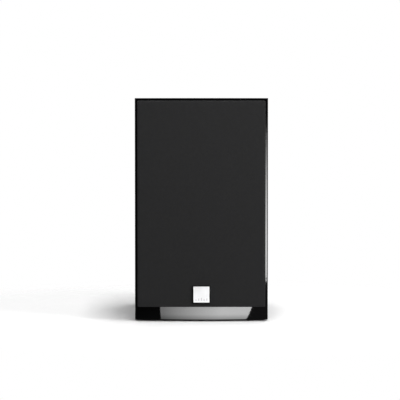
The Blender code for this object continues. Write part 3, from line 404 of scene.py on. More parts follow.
@dataclass(frozen=True)
class Finish:
    """A surface finish, with its place in the record's list of materials."""

    name: str
    slot: str
    colour: Colour
    roughness: float
    metallic: float = 0.0

    def material(self) -> bpy.types.Material:
        """The finish as a material, made the first time.

        Returns:
            The material.
        """
        found = bpy.data.materials.get(self.name)
        if found:
            return found
        made = bpy.data.materials.new(self.name)
        made.use_nodes = True
        shader = made.node_tree.nodes["Principled BSDF"]
        shader.inputs["Base Color"].default_value = (*self.colour, 1.0)
        shader.inputs["Roughness"].default_value = self.roughness
        shader.inputs["Metallic"].default_value = self.metallic
        made.diffuse_color = (*self.colour, 1.0)
        self.dress(Tree(made.node_tree), shader)
        return made

    def dress(self, tree: Tree, shader: bpy.types.Node) -> None:
        """Adds the finish's own pattern."""

    def vector(self, tree: Tree, run: Run = Run.PLACE, centre: Vector | None = None) -> Socket:
        """The coordinates a pattern reads.

        Args:
            tree: The material's nodes.
            run: Which directions the pattern follows.
            centre: The point, in the speaker's own frame, that becomes the pattern's origin.

        Returns:
            The vector's socket.
        """
        source = tree.add("TexCoord")
        if run is Run.SURFACE:
            return source.outputs["UV"]
        vector = source.outputs["Object"]
        if centre is not None:
            inputs = {"Vector": vector, "Location": tuple(-value for value in centre)}
            return tree.add("Mapping", inputs).outputs[0]
        if run is Run.UPRIGHT:
            parts = tree.add("SeparateXYZ", {0: vector}).outputs
            return tree.add("CombineXYZ", {0: parts[2], 1: parts[0], 2: parts[1]}).outputs[0]
        return vector

    def bump(self, tree: Tree, shader: bpy.types.Node, height: Socket, depth: float,
             strength: float = 1.0) -> None:
        """Raises the surface by the height, whose full step is depth metres."""
        inputs = {"Height": height, "Distance": depth, "Strength": strength}
        tree.tree.links.new(tree.add("Bump", inputs).outputs[0], shader.inputs["Normal"])

    def tint(self, tree: Tree, shader: bpy.types.Node, factor: Socket, other: Colour) -> None:
        """Shifts the base colour to the other where the factor is 1."""
        colour = tree.blend(factor, self.colour, other)
        tree.tree.links.new(colour, shader.inputs["Base Color"])

    def roughen(self, tree: Tree, shader: bpy.types.Node, factor: Socket, other: float) -> None:
        """Shifts the roughness to the other where the factor is 1.

        Args:
            tree: The nodes to add to.
            shader: The material's Principled shader.
            factor: Where and how far the roughness shifts.
            other: The roughness it shifts to.
        """
        inputs = {"Value": factor, "To Min": self.roughness, "To Max": other}
        rough = tree.add("MapRange", inputs).outputs["Result"]
        tree.tree.links.new(rough, shader.inputs["Roughness"])


@dataclass(frozen=True)
class Lacquer(Finish):
    """A polished lacquer with a trace of orange peel, smears and dust."""

    peel: float = 0.000012

    def dress(self, tree: Tree, shader: bpy.types.Node) -> None:
        """Adds the peel, the smears and the dust.

        Args:
            tree: The nodes to add to.
            shader: The material's Principled shader.
        """
        vector = self.vector(tree)
        skin = SKIN.use(tree, Vector=vector, Size=0.006)
        marks = HANDLING.use(tree, Vector=vector)
        self.bump(tree, shader, skin["Height"], self.peel)
        self.roughen(tree, shader, tree.math("MULTIPLY", marks["Smear"], 0.5), self.roughness * 2.2)
        self.tint(tree, shader, tree.math("MULTIPLY", marks["Dust"], 0.6), (0.05, 0.05, 0.05))


@dataclass(frozen=True)
class Moulded(Finish):
    """Moulded plastic or rubber with a fine grained skin."""

    grain: float = 0.0004
    depth: float = 0.00003
    lighter: float = 1.5
    gleam: float = 0.5

    def dress(self, tree: Tree, shader: bpy.types.Node) -> None:
        """Adds the grained skin, a slow change of tone and some dust.

        Args:
            tree: The nodes to add to.
            shader: The material's Principled shader.
        """
        vector = self.vector(tree)
        skin = SKIN.use(tree, Vector=vector, Size=self.grain)
        marks = HANDLING.use(tree, Vector=vector)
        self.bump(tree, shader, skin["Height"], self.depth)
        pale = tuple(min(1.0, value * self.lighter + 0.002) for value in self.colour)
        self.tint(tree, shader, tree.math("MULTIPLY", skin["Mottle"], 0.6), pale)
        shader.inputs["Specular IOR Level"].default_value = self.gleam
        self.roughen(tree, shader, marks["Smear"], min(1.0, self.roughness + 0.1))


@dataclass(frozen=True)
class Foil(Finish):
    """Wood-grain foil with open pores."""

    run: Run = Run.UPRIGHT
    stretch: float = 26.0

    def dress(self, tree: Tree, shader: bpy.types.Node) -> None:
        """Adds pores, growth bands and smears.

        Args:
            tree: The nodes to add to.
            shader: The material's Principled shader.
        """
        vector = self.vector(tree, self.run)
        grain = GRAIN.use(tree, Vector=vector, Stretch=self.stretch)
        marks = HANDLING.use(tree, Vector=self.vector(tree))
        pale = tuple(value * 2.6 for value in self.colour)
        self.tint(tree, shader, tree.math("MULTIPLY", grain["Band"], 0.75), pale)
        self.bump(tree, shader, tree.math("SUBTRACT", 1.0, grain["Pore"]), 0.00008)
        mixed = tree.math("MAXIMUM", grain["Pore"], tree.math("MULTIPLY", marks["Smear"], 0.2))
        self.roughen(tree, shader, mixed, min(1.0, self.roughness + 0.2))


@dataclass(frozen=True)
class Cloth(Finish):
    """A woven cloth."""

    run: Run = Run.SURFACE
    pitch: float = 0.0009
    # The painted shade colour that the gaps between threads darken to.
    hollow: Colour = (0.004, 0.004, 0.004)
    sheen: float = 0.1
    gleam: float = 0.0

    def dress(self, tree: Tree, shader: bpy.types.Node) -> None:
        """Adds the threads, the gaps between them and their soft sheen.

        Args:
            tree: The nodes to add to.
            shader: The material's Principled shader.
        """
        vector = self.vector(tree, self.run)
        weave = WEAVE.use(tree, Vector=vector, Pitch=self.pitch)
        self.bump(tree, shader, weave["Height"], self.pitch * 0.35)
        # Painted shade in the gaps between threads, mixed with a little random tone.
        shade = tree.math("MULTIPLY_ADD", tree.noise(vector, 260.0, 3.0), 0.25, weave["Gap"])
        self.tint(tree, shader, tree.ramp(shade, 0.05, 1.3), self.hollow)
        shader.inputs["Sheen Weight"].default_value = self.sheen
        shader.inputs["Sheen Roughness"].default_value = 0.5
        shader.inputs["Specular IOR Level"].default_value = self.gleam


@dataclass(frozen=True)
class Metal(Finish):
    """Plated, painted or turned metal."""

    centre: tuple[float, float, float] | None = None
    pitch: float = 0.0006
    tooling: float = 0.000008

    def dress(self, tree: Tree, shader: bpy.types.Node) -> None:
        """Adds tool marks, a mottle in the plating and smears.

        Args:
            tree: The nodes to add to.
            shader: The material's Principled shader.
        """
        centre = Vector(self.centre) if self.centre else Vector((0.0, 0.0, 0.0))
        vector = self.vector(tree, centre=centre)
        rings = RINGS.use(tree, Vector=vector, Pitch=self.pitch)
        skin = SKIN.use(tree, Vector=vector, Size=0.0005)
        height = tree.math("MULTIPLY_ADD", rings["Ring"], 0.4, skin["Height"])
        self.bump(tree, shader, height, self.tooling)
        dull = tuple(value * 0.72 for value in self.colour)
        self.tint(tree, shader, skin["Mottle"], dull)
        marks = HANDLING.use(tree, Vector=vector)
        self.roughen(tree, shader, marks["Smear"], min(1.0, self.roughness + 0.18))


@dataclass(frozen=True)
class Winding(Finish):
    """Enamelled wire wound in close turns."""

    centre: tuple[float, float, float] = (0.0, 0.0, 0.0)
    wire: float = 0.0007

    def dress(self, tree: Tree, shader: bpy.types.Node) -> None:
        """Adds the turns of wire and the dark lines between them.

        Args:
            tree: The nodes to add to.
            shader: The material's Principled shader.
        """
        vector = self.vector(tree, centre=Vector(self.centre))
        rings = RINGS.use(tree, Vector=vector, Pitch=self.wire)
        height = tree.math("MAXIMUM", rings["Band"], rings["Ring"])
        self.bump(tree, shader, height, self.wire * 0.3)
        # Painted shade: the wire darkens to this colour where the turns dip between one another.
        dark = tuple(value * 0.35 for value in self.colour)
        self.tint(tree, shader, tree.ramp(height, 0.1, -0.9), dark)


@dataclass(frozen=True)
class Pulp(Finish):
    """Pressed and coated paper fibre with faint rings."""

    centre: tuple[float, float, float] = (0.0, 0.0, 0.0)
    pitch: float = 0.0021

    def dress(self, tree: Tree, shader: bpy.types.Node) -> None:
        """Adds fibres, pressed rings and pale flecks.

        Args:
            tree: The nodes to add to.
            shader: The material's Principled shader.
        """
        vector = self.vector(tree, centre=Vector(self.centre))
        skin = SKIN.use(tree, Vector=vector, Size=0.0007)
        rings = RINGS.use(tree, Vector=vector, Pitch=self.pitch)
        height = tree.math("MULTIPLY_ADD", rings["Ring"], 0.5, skin["Height"])
        self.bump(tree, shader, height, 0.00006)
        fleck = tree.ramp(tree.noise(vector, 1300.0, 4.0), 0.58, 0.72)
        self.tint(tree, shader, fleck, tuple(value * 2.8 for value in self.colour))


@dataclass(frozen=True)
class Laminate(Finish):
    """A printed circuit board with tracks under its lacquer."""

    def dress(self, tree: Tree, shader: bpy.types.Node) -> None:
        """Adds the tracks as squared-off cells.

        Args:
            tree: The nodes to add to.
            shader: The material's Principled shader.
        """
        inputs = {"Vector": self.vector(tree), "Scale": 95.0}
        cells = tree.add("TexVoronoi", inputs, distance="CHEBYCHEV", feature="F2")
        track = tree.ramp(cells.outputs["Distance"], 0.62, 0.66)
        self.tint(tree, shader, track, tuple(value * 1.9 for value in self.colour))
        self.bump(tree, shader, track, 0.00004)


@dataclass(frozen=True)
class Fibre(Finish):
    """Loose fibre wadding."""

    def dress(self, tree: Tree, shader: bpy.types.Node) -> None:
        """Adds tangled fibres and soft hollows.

        Args:
            tree: The nodes to add to.
            shader: The material's Principled shader.
        """
        vector = self.vector(tree)
        tangle = tree.noise(vector, 900.0, 6.0)
        lumps = tree.noise(vector, 70.0, 3.0)
        self.bump(tree, shader, tree.math("ADD", tangle, lumps), 0.0012)
        # Painted shade: the wadding turns darker grey where the tangled fibres dip.
        self.tint(tree, shader, tree.ramp(tangle, 0.6, 0.3), (0.5, 0.5, 0.47))
        shader.inputs["Sheen Weight"].default_value = 0.4


WOOFER = Span.of("woofer_basket")
TWEETER = Span.of("tweeter_faceplate")
TERMINALS = Span.of("terminal_cup")
WOOFER_AXIS = (0.0, WOOFER.low.y, WOOFER.middle.z)
TWEETER_AXIS = (0.0, TWEETER.low.y, TWEETER.middle.z)


class Finishes:
    """Every finish on the speaker."""

    GLOSS = Lacquer("gloss_black_lacquer", "gloss_black", (0.0010, 0.0010, 0.0012), 0.04)
    FOIL = Foil("black_ash_foil", "black_ash", (0.021, 0.0195, 0.0185), 0.36, run=Run.SURFACE)
    REAR_FOIL = Foil("black_ash_rear", "black_ash", (0.021, 0.0195, 0.0185), 0.40)
    CLOTH = Cloth("grille_weave", "grille_cloth", (0.0340, 0.0340, 0.0348), 0.9)
    PLASTIC = Moulded("black_moulding", "black_plastic", (0.011, 0.011, 0.012), 0.48)
    SATIN = Moulded("satin_moulding", "black_plastic", (0.008, 0.008, 0.009), 0.30,
                    grain=0.00025, depth=0.000012)
    RIM = Moulded("badge_rim_moulding", "black_plastic", (0.002, 0.002, 0.002), 0.6,
                  grain=0.0002, depth=0.00001, gleam=0.05)
    BADGE = Metal("badge_satin_white", "badge_white", (0.82, 0.82, 0.83), 0.40, 0.1,
                  pitch=0.0002, tooling=0.000003)
    PRINT = Moulded("badge_grey_print", "badge_white", (0.50, 0.50, 0.51), 0.4,
                    depth=0.000005, lighter=1.0)
    RUBBER = Moulded("soft_rubber", "rubber", (0.012, 0.012, 0.012), 0.62,
                     grain=0.0009, depth=0.00002)
    PULP = Pulp("coated_pulp", "cone_paper", (0.020, 0.019, 0.019), 0.62, centre=WOOFER_AXIS)
    STEEL = Metal("black_painted_steel", "painted_steel", (0.014, 0.014, 0.015), 0.36, 0.4,
                  tooling=0.00001)
    ZINC = Metal("zinc_plate", "plated_steel", (0.56, 0.56, 0.53), 0.30, 1.0, centre=WOOFER_AXIS)
    FERRITE = Moulded("ferrite", "ferrite", (0.035, 0.035, 0.037), 0.68, 0.05,
                      grain=0.0007, depth=0.00006)
    COPPER = Winding("copper_wire", "copper", (0.58, 0.22, 0.09), 0.32, 1.0, centre=WOOFER_AXIS)
    SPIDER = Cloth("spider_weave", "spider_cloth", (0.40, 0.22, 0.07), 0.85, run=Run.UPRIGHT,
                   pitch=0.0008, hollow=(0.16, 0.08, 0.02), sheen=0.1)
    SILK = Cloth("coated_silk", "dome_silk", (0.012, 0.012, 0.013), 0.55, run=Run.UPRIGHT,
                 pitch=0.00035, hollow=(0.006, 0.006, 0.006), sheen=0.2)
    GOLD = Metal("gold_plate", "gold_plate", (0.78, 0.53, 0.20), 0.20, 1.0, pitch=0.0004)
    RED = Moulded("red_moulding", "red_plastic", (0.42, 0.010, 0.010), 0.28,
                  grain=0.0003, depth=0.00001, lighter=1.15)
    BOARD = Laminate("green_laminate", "board_green", (0.015, 0.11, 0.04), 0.38)
    FILM = Moulded("film_wrap", "capacitor_film", (0.52, 0.40, 0.06), 0.26,
                   grain=0.002, depth=0.00002, lighter=1.1)
    CEMENT = Moulded("white_cement", "white_cement", (0.66, 0.65, 0.61), 0.85,
                     grain=0.0005, depth=0.00009, lighter=1.1)
    WADDING = Fibre("wadding_fibre", "wadding", (0.74, 0.74, 0.70), 1.0)


# ---- Shaping tools -----------------------------------------------------------


class Form:
    """A mesh in the making, shaped with bmesh operators."""

    def __init__(self) -> None:
        """Starts empty."""
        self.bm = bmesh.new()

    def block(self, size: Sequence[float], centre: Sequence[float]) -> "Form":
        """Adds a block of that size about the centre.

        Args:
            size: The block's three sides.
            centre: Its middle.

        Returns:
            The form itself.
        """
        place = Matrix.Translation(Vector(centre)) @ Matrix.Diagonal((*size, 1.0))
        bmesh.ops.create_cube(self.bm, size=1.0, matrix=place)
        return self

    def turn(self, outline: Outline, sides: int = ROUND_SIDES, closed: bool = True) -> "Form":
        """Spins an outline of (radius, depth) points about the Y axis.

        Args:
            outline: The points in order; a radius of 0 is on the axis.
            sides: How many steps a full turn takes.
            closed: Whether the last point joins the first.

        Returns:
            The form itself.
        """
        points = [self.bm.verts.new((radius, depth, 0.0)) for radius, depth in outline]
        pairs = list(zip(points, points[1:] + (points[:1] if closed else [])))
        edges = [
            self.bm.edges.new(pair) for pair in pairs if any(v.co.x > 0 for v in pair)
        ]
        bmesh.ops.spin(self.bm, geom=points + edges, cent=(0, 0, 0), axis=(0, 1, 0),
                       angle=math.tau, steps=sides, use_merge=True)
        bmesh.ops.remove_doubles(self.bm, verts=self.bm.verts, dist=MERGE)
        return self

    def disc(self, radius: float, depth: float, sides: int, start: float = 0.0) -> "Form":
        """Adds a short upright-faced cylinder from y = start to y = depth.

        Args:
            radius: The cylinder's radius.
            depth: The y of its far end.
            sides: How many sides it has.
            start: The y of its near end.

        Returns:
            The form itself.
        """
        upright = Matrix.Rotation(math.pi / 2, 4, "X")
        middle = Matrix.Translation((0, (depth + start) / 2, 0)) @ upright
        bmesh.ops.create_cone(self.bm, cap_ends=True, segments=sides, radius1=radius,
                              radius2=radius, depth=abs(depth - start), matrix=middle)
        return self

    def slice(self, axis: int, cuts: Iterable[float]) -> "Form":
        """Splits the faces by planes across an axis.

        Args:
            axis: 0 for x, 1 for y and 2 for z.
            cuts: Where the planes cross the axis.

        Returns:
            The form itself.
        """
        normal = Vector((0.0, 0.0, 0.0))
        normal[axis] = 1.0
        for cut in cuts:
            geom = self.bm.verts[:] + self.bm.edges[:] + self.bm.faces[:]
            bmesh.ops.bisect_plane(self.bm, geom=geom, dist=MERGE, plane_co=normal * cut,
                                   plane_no=normal)
        return self

    def faces(self, test: Callable[[bmesh.types.BMFace], bool]) -> list[bmesh.types.BMFace]:
        """The faces that pass the test, with normals brought up to date."""
        self.bm.normal_update()
        return [face for face in self.bm.faces if test(face)]

    def edges(self, test: Callable[[Vector, Vector], bool]) -> list[bmesh.types.BMEdge]:
        """The edges whose two ends pass the test."""
        return [edge for edge in self.bm.edges if test(edge.verts[0].co, edge.verts[1].co)]

    def through(self, least: float) -> list[bmesh.types.BMEdge]:
        """The edges that run from front to back by more than that length."""
        return self.edges(lambda a, b: abs(a.y - b.y) > least)

    def drop(self, faces: list[bmesh.types.BMFace]) -> "Form":
        """Deletes the faces."""
        bmesh.ops.delete(self.bm, geom=faces, context="FACES")
        return self

    def soften(self, edges: list[bmesh.types.BMEdge], width: float, segments: int = 3) -> "Form":
        """Rounds the edges.

        Args:
            edges: The edges.
            width: How far in the rounding starts.
            segments: How many steps it takes.

        Returns:
            The form itself.
        """
        bmesh.ops.bevel(self.bm, geom=edges, offset=width, segments=segments, profile=0.5,
                        affect="EDGES", material=-1, clamp_overlap=True)
        return self

    def soften_corners(self, width: float, segments: int = 3, least: float = 50.0) -> "Form":
        """Rounds every edge that is sharper than the given angle in degrees.

        Args:
            width: How far in the rounding starts.
            segments: How many steps it takes.
            least: The angle past which an edge is sharp.

        Returns:
            The form itself.
        """
        self.bm.normal_update()
        sharp = [e for e in self.bm.edges if e.is_manifold
                 and e.calc_face_angle(0.0) > math.radians(least)]
        return self.soften(sharp, width, segments)

    def push(self, move: Callable[[Vector], Vector]) -> "Form":
        """Moves every point as the function says.

        Args:
            move: Gives a point's new place.

        Returns:
            The form itself.
        """
        for vert in self.bm.verts:
            vert.co = move(vert.co.copy())
        return self

    def shift(self, offset: Sequence[float]) -> "Form":
        """Moves the whole form."""
        bmesh.ops.translate(self.bm, verts=self.bm.verts, vec=Vector(offset))
        return self

    def face_along(self, axis: str, turn: float) -> "Form":
        """Turns the form about a world axis.

        Args:
            axis: X, Y or Z.
            turn: The angle in radians.

        Returns:
            The form itself.
        """
        bmesh.ops.rotate(self.bm, verts=self.bm.verts, cent=(0, 0, 0),
                         matrix=Matrix.Rotation(turn, 3, axis))
        return self

    def copies(self, places: Iterable[Sequence[float]]) -> "Form":
        """Repeats the form at each place, in one mesh.

        Args:
            places: How far each copy is moved.

        Returns:
            The form itself.
        """
        template = self.bm.verts[:] + self.bm.edges[:] + self.bm.faces[:]
        for place in places:
            made = bmesh.ops.duplicate(self.bm, geom=template)["geom"]
            verts = [item for item in made if isinstance(item, bmesh.types.BMVert)]
            bmesh.ops.translate(self.bm, verts=verts, vec=Vector(place))
        bmesh.ops.delete(self.bm, geom=[g for g in template if isinstance(g, bmesh.types.BMVert)],
                         context="VERTS")
        return self

    def mesh(self, name: str, outward: bool = True) -> bpy.types.Mesh:
        """The form as a mesh that is smooth where it is round.

        Args:
            name: The mesh's name.
            outward: Whether the faces are turned outwards, as on a closed form.

        Returns:
            The mesh, after which the form is used up.
        """
        bmesh.ops.remove_doubles(self.bm, verts=self.bm.verts, dist=MERGE)
        if outward:
            bmesh.ops.recalc_face_normals(self.bm, faces=self.bm.faces)
        made = bpy.data.meshes.new(name)
        self.bm.to_mesh(made)
        self.bm.free()
        made.shade_smooth()
        made.set_sharp_from_angle(angle=SHARP_ANGLE)
        return made


@dataclass(frozen=True)
class Piece:
    """A finished piece: its mesh, its finish and what it stands for."""

    name: str
    body: str
    finish: Finish
    stands_for: tuple[str, ...] = ()

    def build(self, mesh: bpy.types.Mesh, even: bool = False) -> bpy.types.Object:
        """Places the mesh on its body, with its finish.

        Args:
            mesh: The piece's mesh, in the speaker's own frame.
            even: Whether large faces keep flat shading up to their rounded edges.

        Returns:
            The new object.
        """
        obj = linked(self.name, mesh)
        mesh.materials.clear()
        mesh.materials.append(self.finish.material())
        if even:
            weighted = obj.modifiers.new("even shading", "WEIGHTED_NORMAL")
            weighted.keep_sharp = True
            weighted.weight = EVEN_WEIGHT
        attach(obj, self.body)
        if self.stands_for:
            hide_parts(*self.stands_for)
        log.info("%s on %s, %d faces", self.name, self.body, len(mesh.polygons))
        return obj


def dress_packed(node: str, finish: Finish) -> None:
    """Gives a packed node, which stays as it is, a finish.

    Args:
        node: The node's name.
        finish: Its finish.
    """
    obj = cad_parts[node]
    for slot in obj.material_slots:
        slot.material = finish.material()
    log.info("%s keeps its packed shape, in %s", node, finish.name)


def carved(mesh: bpy.types.Mesh, tools: Sequence[bpy.types.Mesh],
           operation: str = "DIFFERENCE") -> bpy.types.Mesh:
    """The mesh with each tool cut away from it, or joined to it.

    Args:
        mesh: The closed mesh to work on.
        tools: Closed meshes in the same place.
        operation: DIFFERENCE or UNION.

    Returns:
        A new mesh.
    """
    blank = linked("blank", mesh)
    cutters = [linked("cutter", tool) for tool in tools]
    for cutter in cutters:
        modifier = blank.modifiers.new("cut", "BOOLEAN")
        modifier.operation = operation
        modifier.solver = "EXACT"
        modifier.object = cutter
    bpy.context.view_layer.update()
    view = blank.evaluated_get(bpy.context.evaluated_depsgraph_get())
    made = bpy.data.meshes.new_from_object(view)
    for extra in [blank, *cutters]:
        bpy.data.objects.remove(extra)
    made.name = mesh.name + "_cut"
    made.shade_smooth()
    made.set_sharp_from_angle(angle=SHARP_ANGLE)
    return made


def soft_edges(obj: bpy.types.Object, width: float, least: float) -> None:
    """Rounds a finished piece's sharp edges.

    Args:
        obj: The piece.
        width: How far in the rounding starts.
        least: The angle, in degrees, past which an edge counts as sharp.
    """
    bevel = obj.modifiers.new("soft edges", "BEVEL")
    bevel.width, bevel.segments, bevel.angle_limit = width, 2, math.radians(least)
    bevel.limit_method = "ANGLE"


def arc(centre: tuple[float, float], radius: float, start: float, end: float,
        steps: int) -> Outline:
    """Points on an arc, with angles in degrees."""
    turns = [math.radians(start + (end - start) * step / steps) for step in range(steps + 1)]
    return [(centre[0] + radius * math.cos(a), centre[1] + radius * math.sin(a)) for a in turns]


def unfold(mesh: bpy.types.Mesh, spot: Callable[[Vector, Vector], tuple[float, float]]) -> None:
    """Gives a mesh a UV map in metres.

    Args:
        mesh: The piece's mesh.
        spot: The map's (u, v) for a point and its face's normal.
    """
    layer = mesh.uv_layers.new(name="surface")
    for polygon in mesh.polygons:
        for loop in polygon.loop_indices:
            point = mesh.vertices[mesh.loops[loop].vertex_index].co
            layer.data[loop].uv = spot(point, polygon.normal)


def dome_of(radius: float, height: float) -> tuple[float, float]:
    """The sphere that a dome is cut from.

    Args:
        radius: The dome's radius at its foot.
        height: The dome's height.

    Returns:
        The sphere's radius, and the angle in degrees from its pole to the dome's foot.
    """
    sphere = (radius**2 + height**2) / (2 * height)
    return sphere, math.degrees(math.asin(radius / sphere))


def wrapped(point: Vector, normal: Vector, front: float) -> tuple[float, float]:
    """The place of a wrapped sheet's point once its four sides are laid flat.

    Args:
        point: The point.
        normal: The normal of its face.
        front: The y at which the sides start.

    Returns:
        The place as (u, v).
    """
    depth = point.y - front
    if abs(normal.y) >= max(abs(normal.x), abs(normal.z)):
        return point.x, point.z
    if abs(normal.x) >= abs(normal.z):
        return point.x + math.copysign(depth, normal.x), point.z
    return point.x, point.z + math.copysign(depth, normal.z)


def bend_about(obj: bpy.types.Object, body: str, mover: str, axis: Vector,
               inner: float, outer: float) -> None:
    """Makes a ring follow the mover at its inner radius and the body at its outer one.

    Args:
        obj: The piece, which must have no parent.
        body: The body that the outer edge is fixed to.
        mover: The body that the inner edge is fixed to.
        axis: A point on the ring's axis, which runs along Y.
        inner: The radius inside which the piece follows the mover.
        outer: The radius outside which it stays.
    """
    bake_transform(obj, body, mover, start=axis, end=axis + Vector((0.0, -0.01, 0.0)))
    weights = obj.data.attributes["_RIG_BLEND"]
    for vert, weight in zip(obj.data.vertices, weights.data):
        radius = math.hypot(vert.co.x - axis.x, vert.co.z - axis.z)
        share = min(1.0, max(0.0, (outer - radius) / (outer - inner)))
        weight.value = share * share * (3 - 2 * share)


# ---- Sub-assemblies ----------------------------------------------------------


def cornered(stem: str, rows: Sequence[str]) -> list[str]:
    """The names stem_row_left and stem_row_right for each row."""
    return [f"{stem}_{row}_{side}" for row in rows for side in ("left", "right")]


@dataclass
class Bow:
    """The front's curve: a cylinder about an upright axis."""

    half_width: float = field(default_factory=lambda: Span.of("front_baffle").size.x / 2)
    crown: float = field(default_factory=lambda: Span.of("front_baffle").low.y)
    rise: float = 0.0065

    @property
    def radius(self) -> float:
        """The curve's radius."""
        return (self.half_width**2 + self.rise**2) / (2 * self.rise)

    def depth(self, x: float) -> float:
        """The y of the curve at x."""
        return self.crown + self.radius - math.sqrt(self.radius**2 - x * x)


@dataclass
class Cabinet:
    """The wrapped box, its rear board, the gloss front and the feet."""

    wall: float = 0.012
    edge: float = 0.0009
    board_shift: float = 3.0
    front_round: float = 0.0011
    columns: int = 72
    woofer_seat: tuple[float, float] = (0.0613, 0.0043)
    tweeter_seat: tuple[float, float] = (0.0343, 0.0048)
    slack: float = 0.0004
    cup_slack: float = 0.0003
    cutter: float = 0.04
    bow: Bow = field(default_factory=Bow)

    def build(self) -> None:
        """Builds every piece of the cabinet."""
        self.sleeve()
        self.front()
        self.feet()
        dress_packed("rear_panel", Finishes.REAR_FOIL)
        dress_packed("damping_wadding", Finishes.WADDING)

    def sleeve(self) -> None:
        """The four boards as one box with closed, softly rounded mitres."""
        nodes = ("side_panel_left", "side_panel_right", "top_panel", "bottom_panel")
        span = Span.of(*nodes)
        form = Form().block(span.size, span.middle)
        ends = form.faces(lambda face: abs(face.normal.y) > 0.5)
        grown = bmesh.ops.inset_region(form.bm, faces=ends, thickness=self.wall,
                                       use_even_offset=True)
        inner = form.faces(lambda f: abs(f.normal.y) > 0.5 and f not in grown["faces"])
        rims = [[e for e in face.edges] for face in inner]
        form.drop(inner)
        bmesh.ops.bridge_loops(form.bm, edges=rims[0] + rims[1])
        outer = form.edges(lambda a, b: self.on_skin(a, span) and self.on_skin(b, span))
        form.soften(outer, self.edge, 3)
        mesh = form.mesh("cabinet_sleeve")
        unfold(mesh, lambda p, n: (p.z if abs(n.x) > abs(n.z) else p.x + self.board_shift, p.y))
        Piece("cabinet_sleeve", "cabinet", Finishes.FOIL, nodes).build(mesh, even=True)

    @staticmethod
    def on_skin(point: Vector, span: Span) -> bool:
        """Whether the point lies on the box's outer skin."""
        gaps = [min(abs(point[k] - span.low[k]), abs(point[k] - span.high[k])) for k in (0, 2)]
        return min(gaps) < 1e-5

    def front(self) -> None:
        """The bowed gloss front with its rounded rim, driver seats and peg holes."""
        span = Span.of("front_baffle")
        form = Form().block(span.size, span.middle)
        steps = range(1, self.columns)
        form.slice(0, [span.low.x + span.size.x * k / self.columns for k in steps])
        middle = span.middle.y
        form.push(lambda p: Vector((p.x, self.bow.depth(p.x), p.z)) if p.y < middle else p)
        form.bm.normal_update()
        rim = [e for e in form.bm.edges if max(v.co.y for v in e.verts) < middle
               and e.calc_face_angle(0.0) > 1.0]
        form.soften(rim, self.front_round, 6)
        mesh = carved(form.mesh("front"), self.tools())
        Piece("gloss_front", "cabinet", Finishes.GLOSS, ("front_baffle",)).build(mesh, even=True)

    def tools(self) -> list[bpy.types.Mesh]:
        """The cutters for the driver seats and the peg holes.

        Returns:
            The closed cutters.
        """
        made = []
        for span, (hole, seat) in ((WOOFER, self.woofer_seat), (TWEETER, self.tweeter_seat)):
            wide, end = span.size.x / 2 + self.slack, self.cutter
            outline = [(0, -end), (wide, -end), (wide, seat), (hole, seat), (hole, end), (0, end)]
            made.append(Form().turn(outline).shift((0, span.low.y, span.middle.z)).mesh("seat"))
        for cup in GrilleFittings.cup_nodes():
            span = Span.of(cup)
            radius, depth = span.size.x / 2 + self.cup_slack, span.size.y + self.slack
            form = Form().disc(radius, depth, FINE_SIDES, -self.cutter / 2)
            made.append(form.shift(span.front).mesh("peg_hole"))
        return made

    def feet(self) -> None:
        """Four thin rubber pads with rounded rims."""
        for node in cornered("foot", ("front", "rear")):
            span = Span.of(node)
            radius, height = span.size.x / 2, span.size.z
            soft = height * 0.6
            rim = arc((radius - soft, soft), soft, -90, 0, 5)
            outline = [(0, 0), *rim, (radius, height), (0, height)]
            form = Form().turn(outline, FINE_SIDES).face_along("X", math.pi / 2)
            form.shift((span.middle.x, span.middle.y, span.low.z))
            name = node.replace("foot", "pad")
            Piece(name, "cabinet", Finishes.RUBBER, (node,)).build(form.mesh(node))


@dataclass
class GrilleFittings:
    """The rubber cups in the front that grip the grille's pegs."""

    lip: float = 0.0005
    bore: float = 0.0029

    @staticmethod
    def cup_nodes() -> list[str]:
        """The packed cups' names."""
        return cornered("grille_cup", ("lower", "upper"))

    def build(self) -> None:
        """Builds each cup as a tube with rounded ends."""
        for node in self.cup_nodes():
            span = Span.of(node)
            outer, length, bore = span.size.x / 2, span.size.y, self.bore
            lip = arc((outer - self.lip, self.lip), self.lip, 0, -90, 4)
            mouth = arc((bore + self.lip, self.lip), self.lip, 270, 180, 4)
            outline = [(outer, length), *lip, *mouth, (bore, length)]
            form = Form().turn(outline, FINE_SIDES).shift(span.front)
            name = node.replace("grille", "peg")
            Piece(name, "cabinet", Finishes.RUBBER, (node,)).build(form.mesh(node))


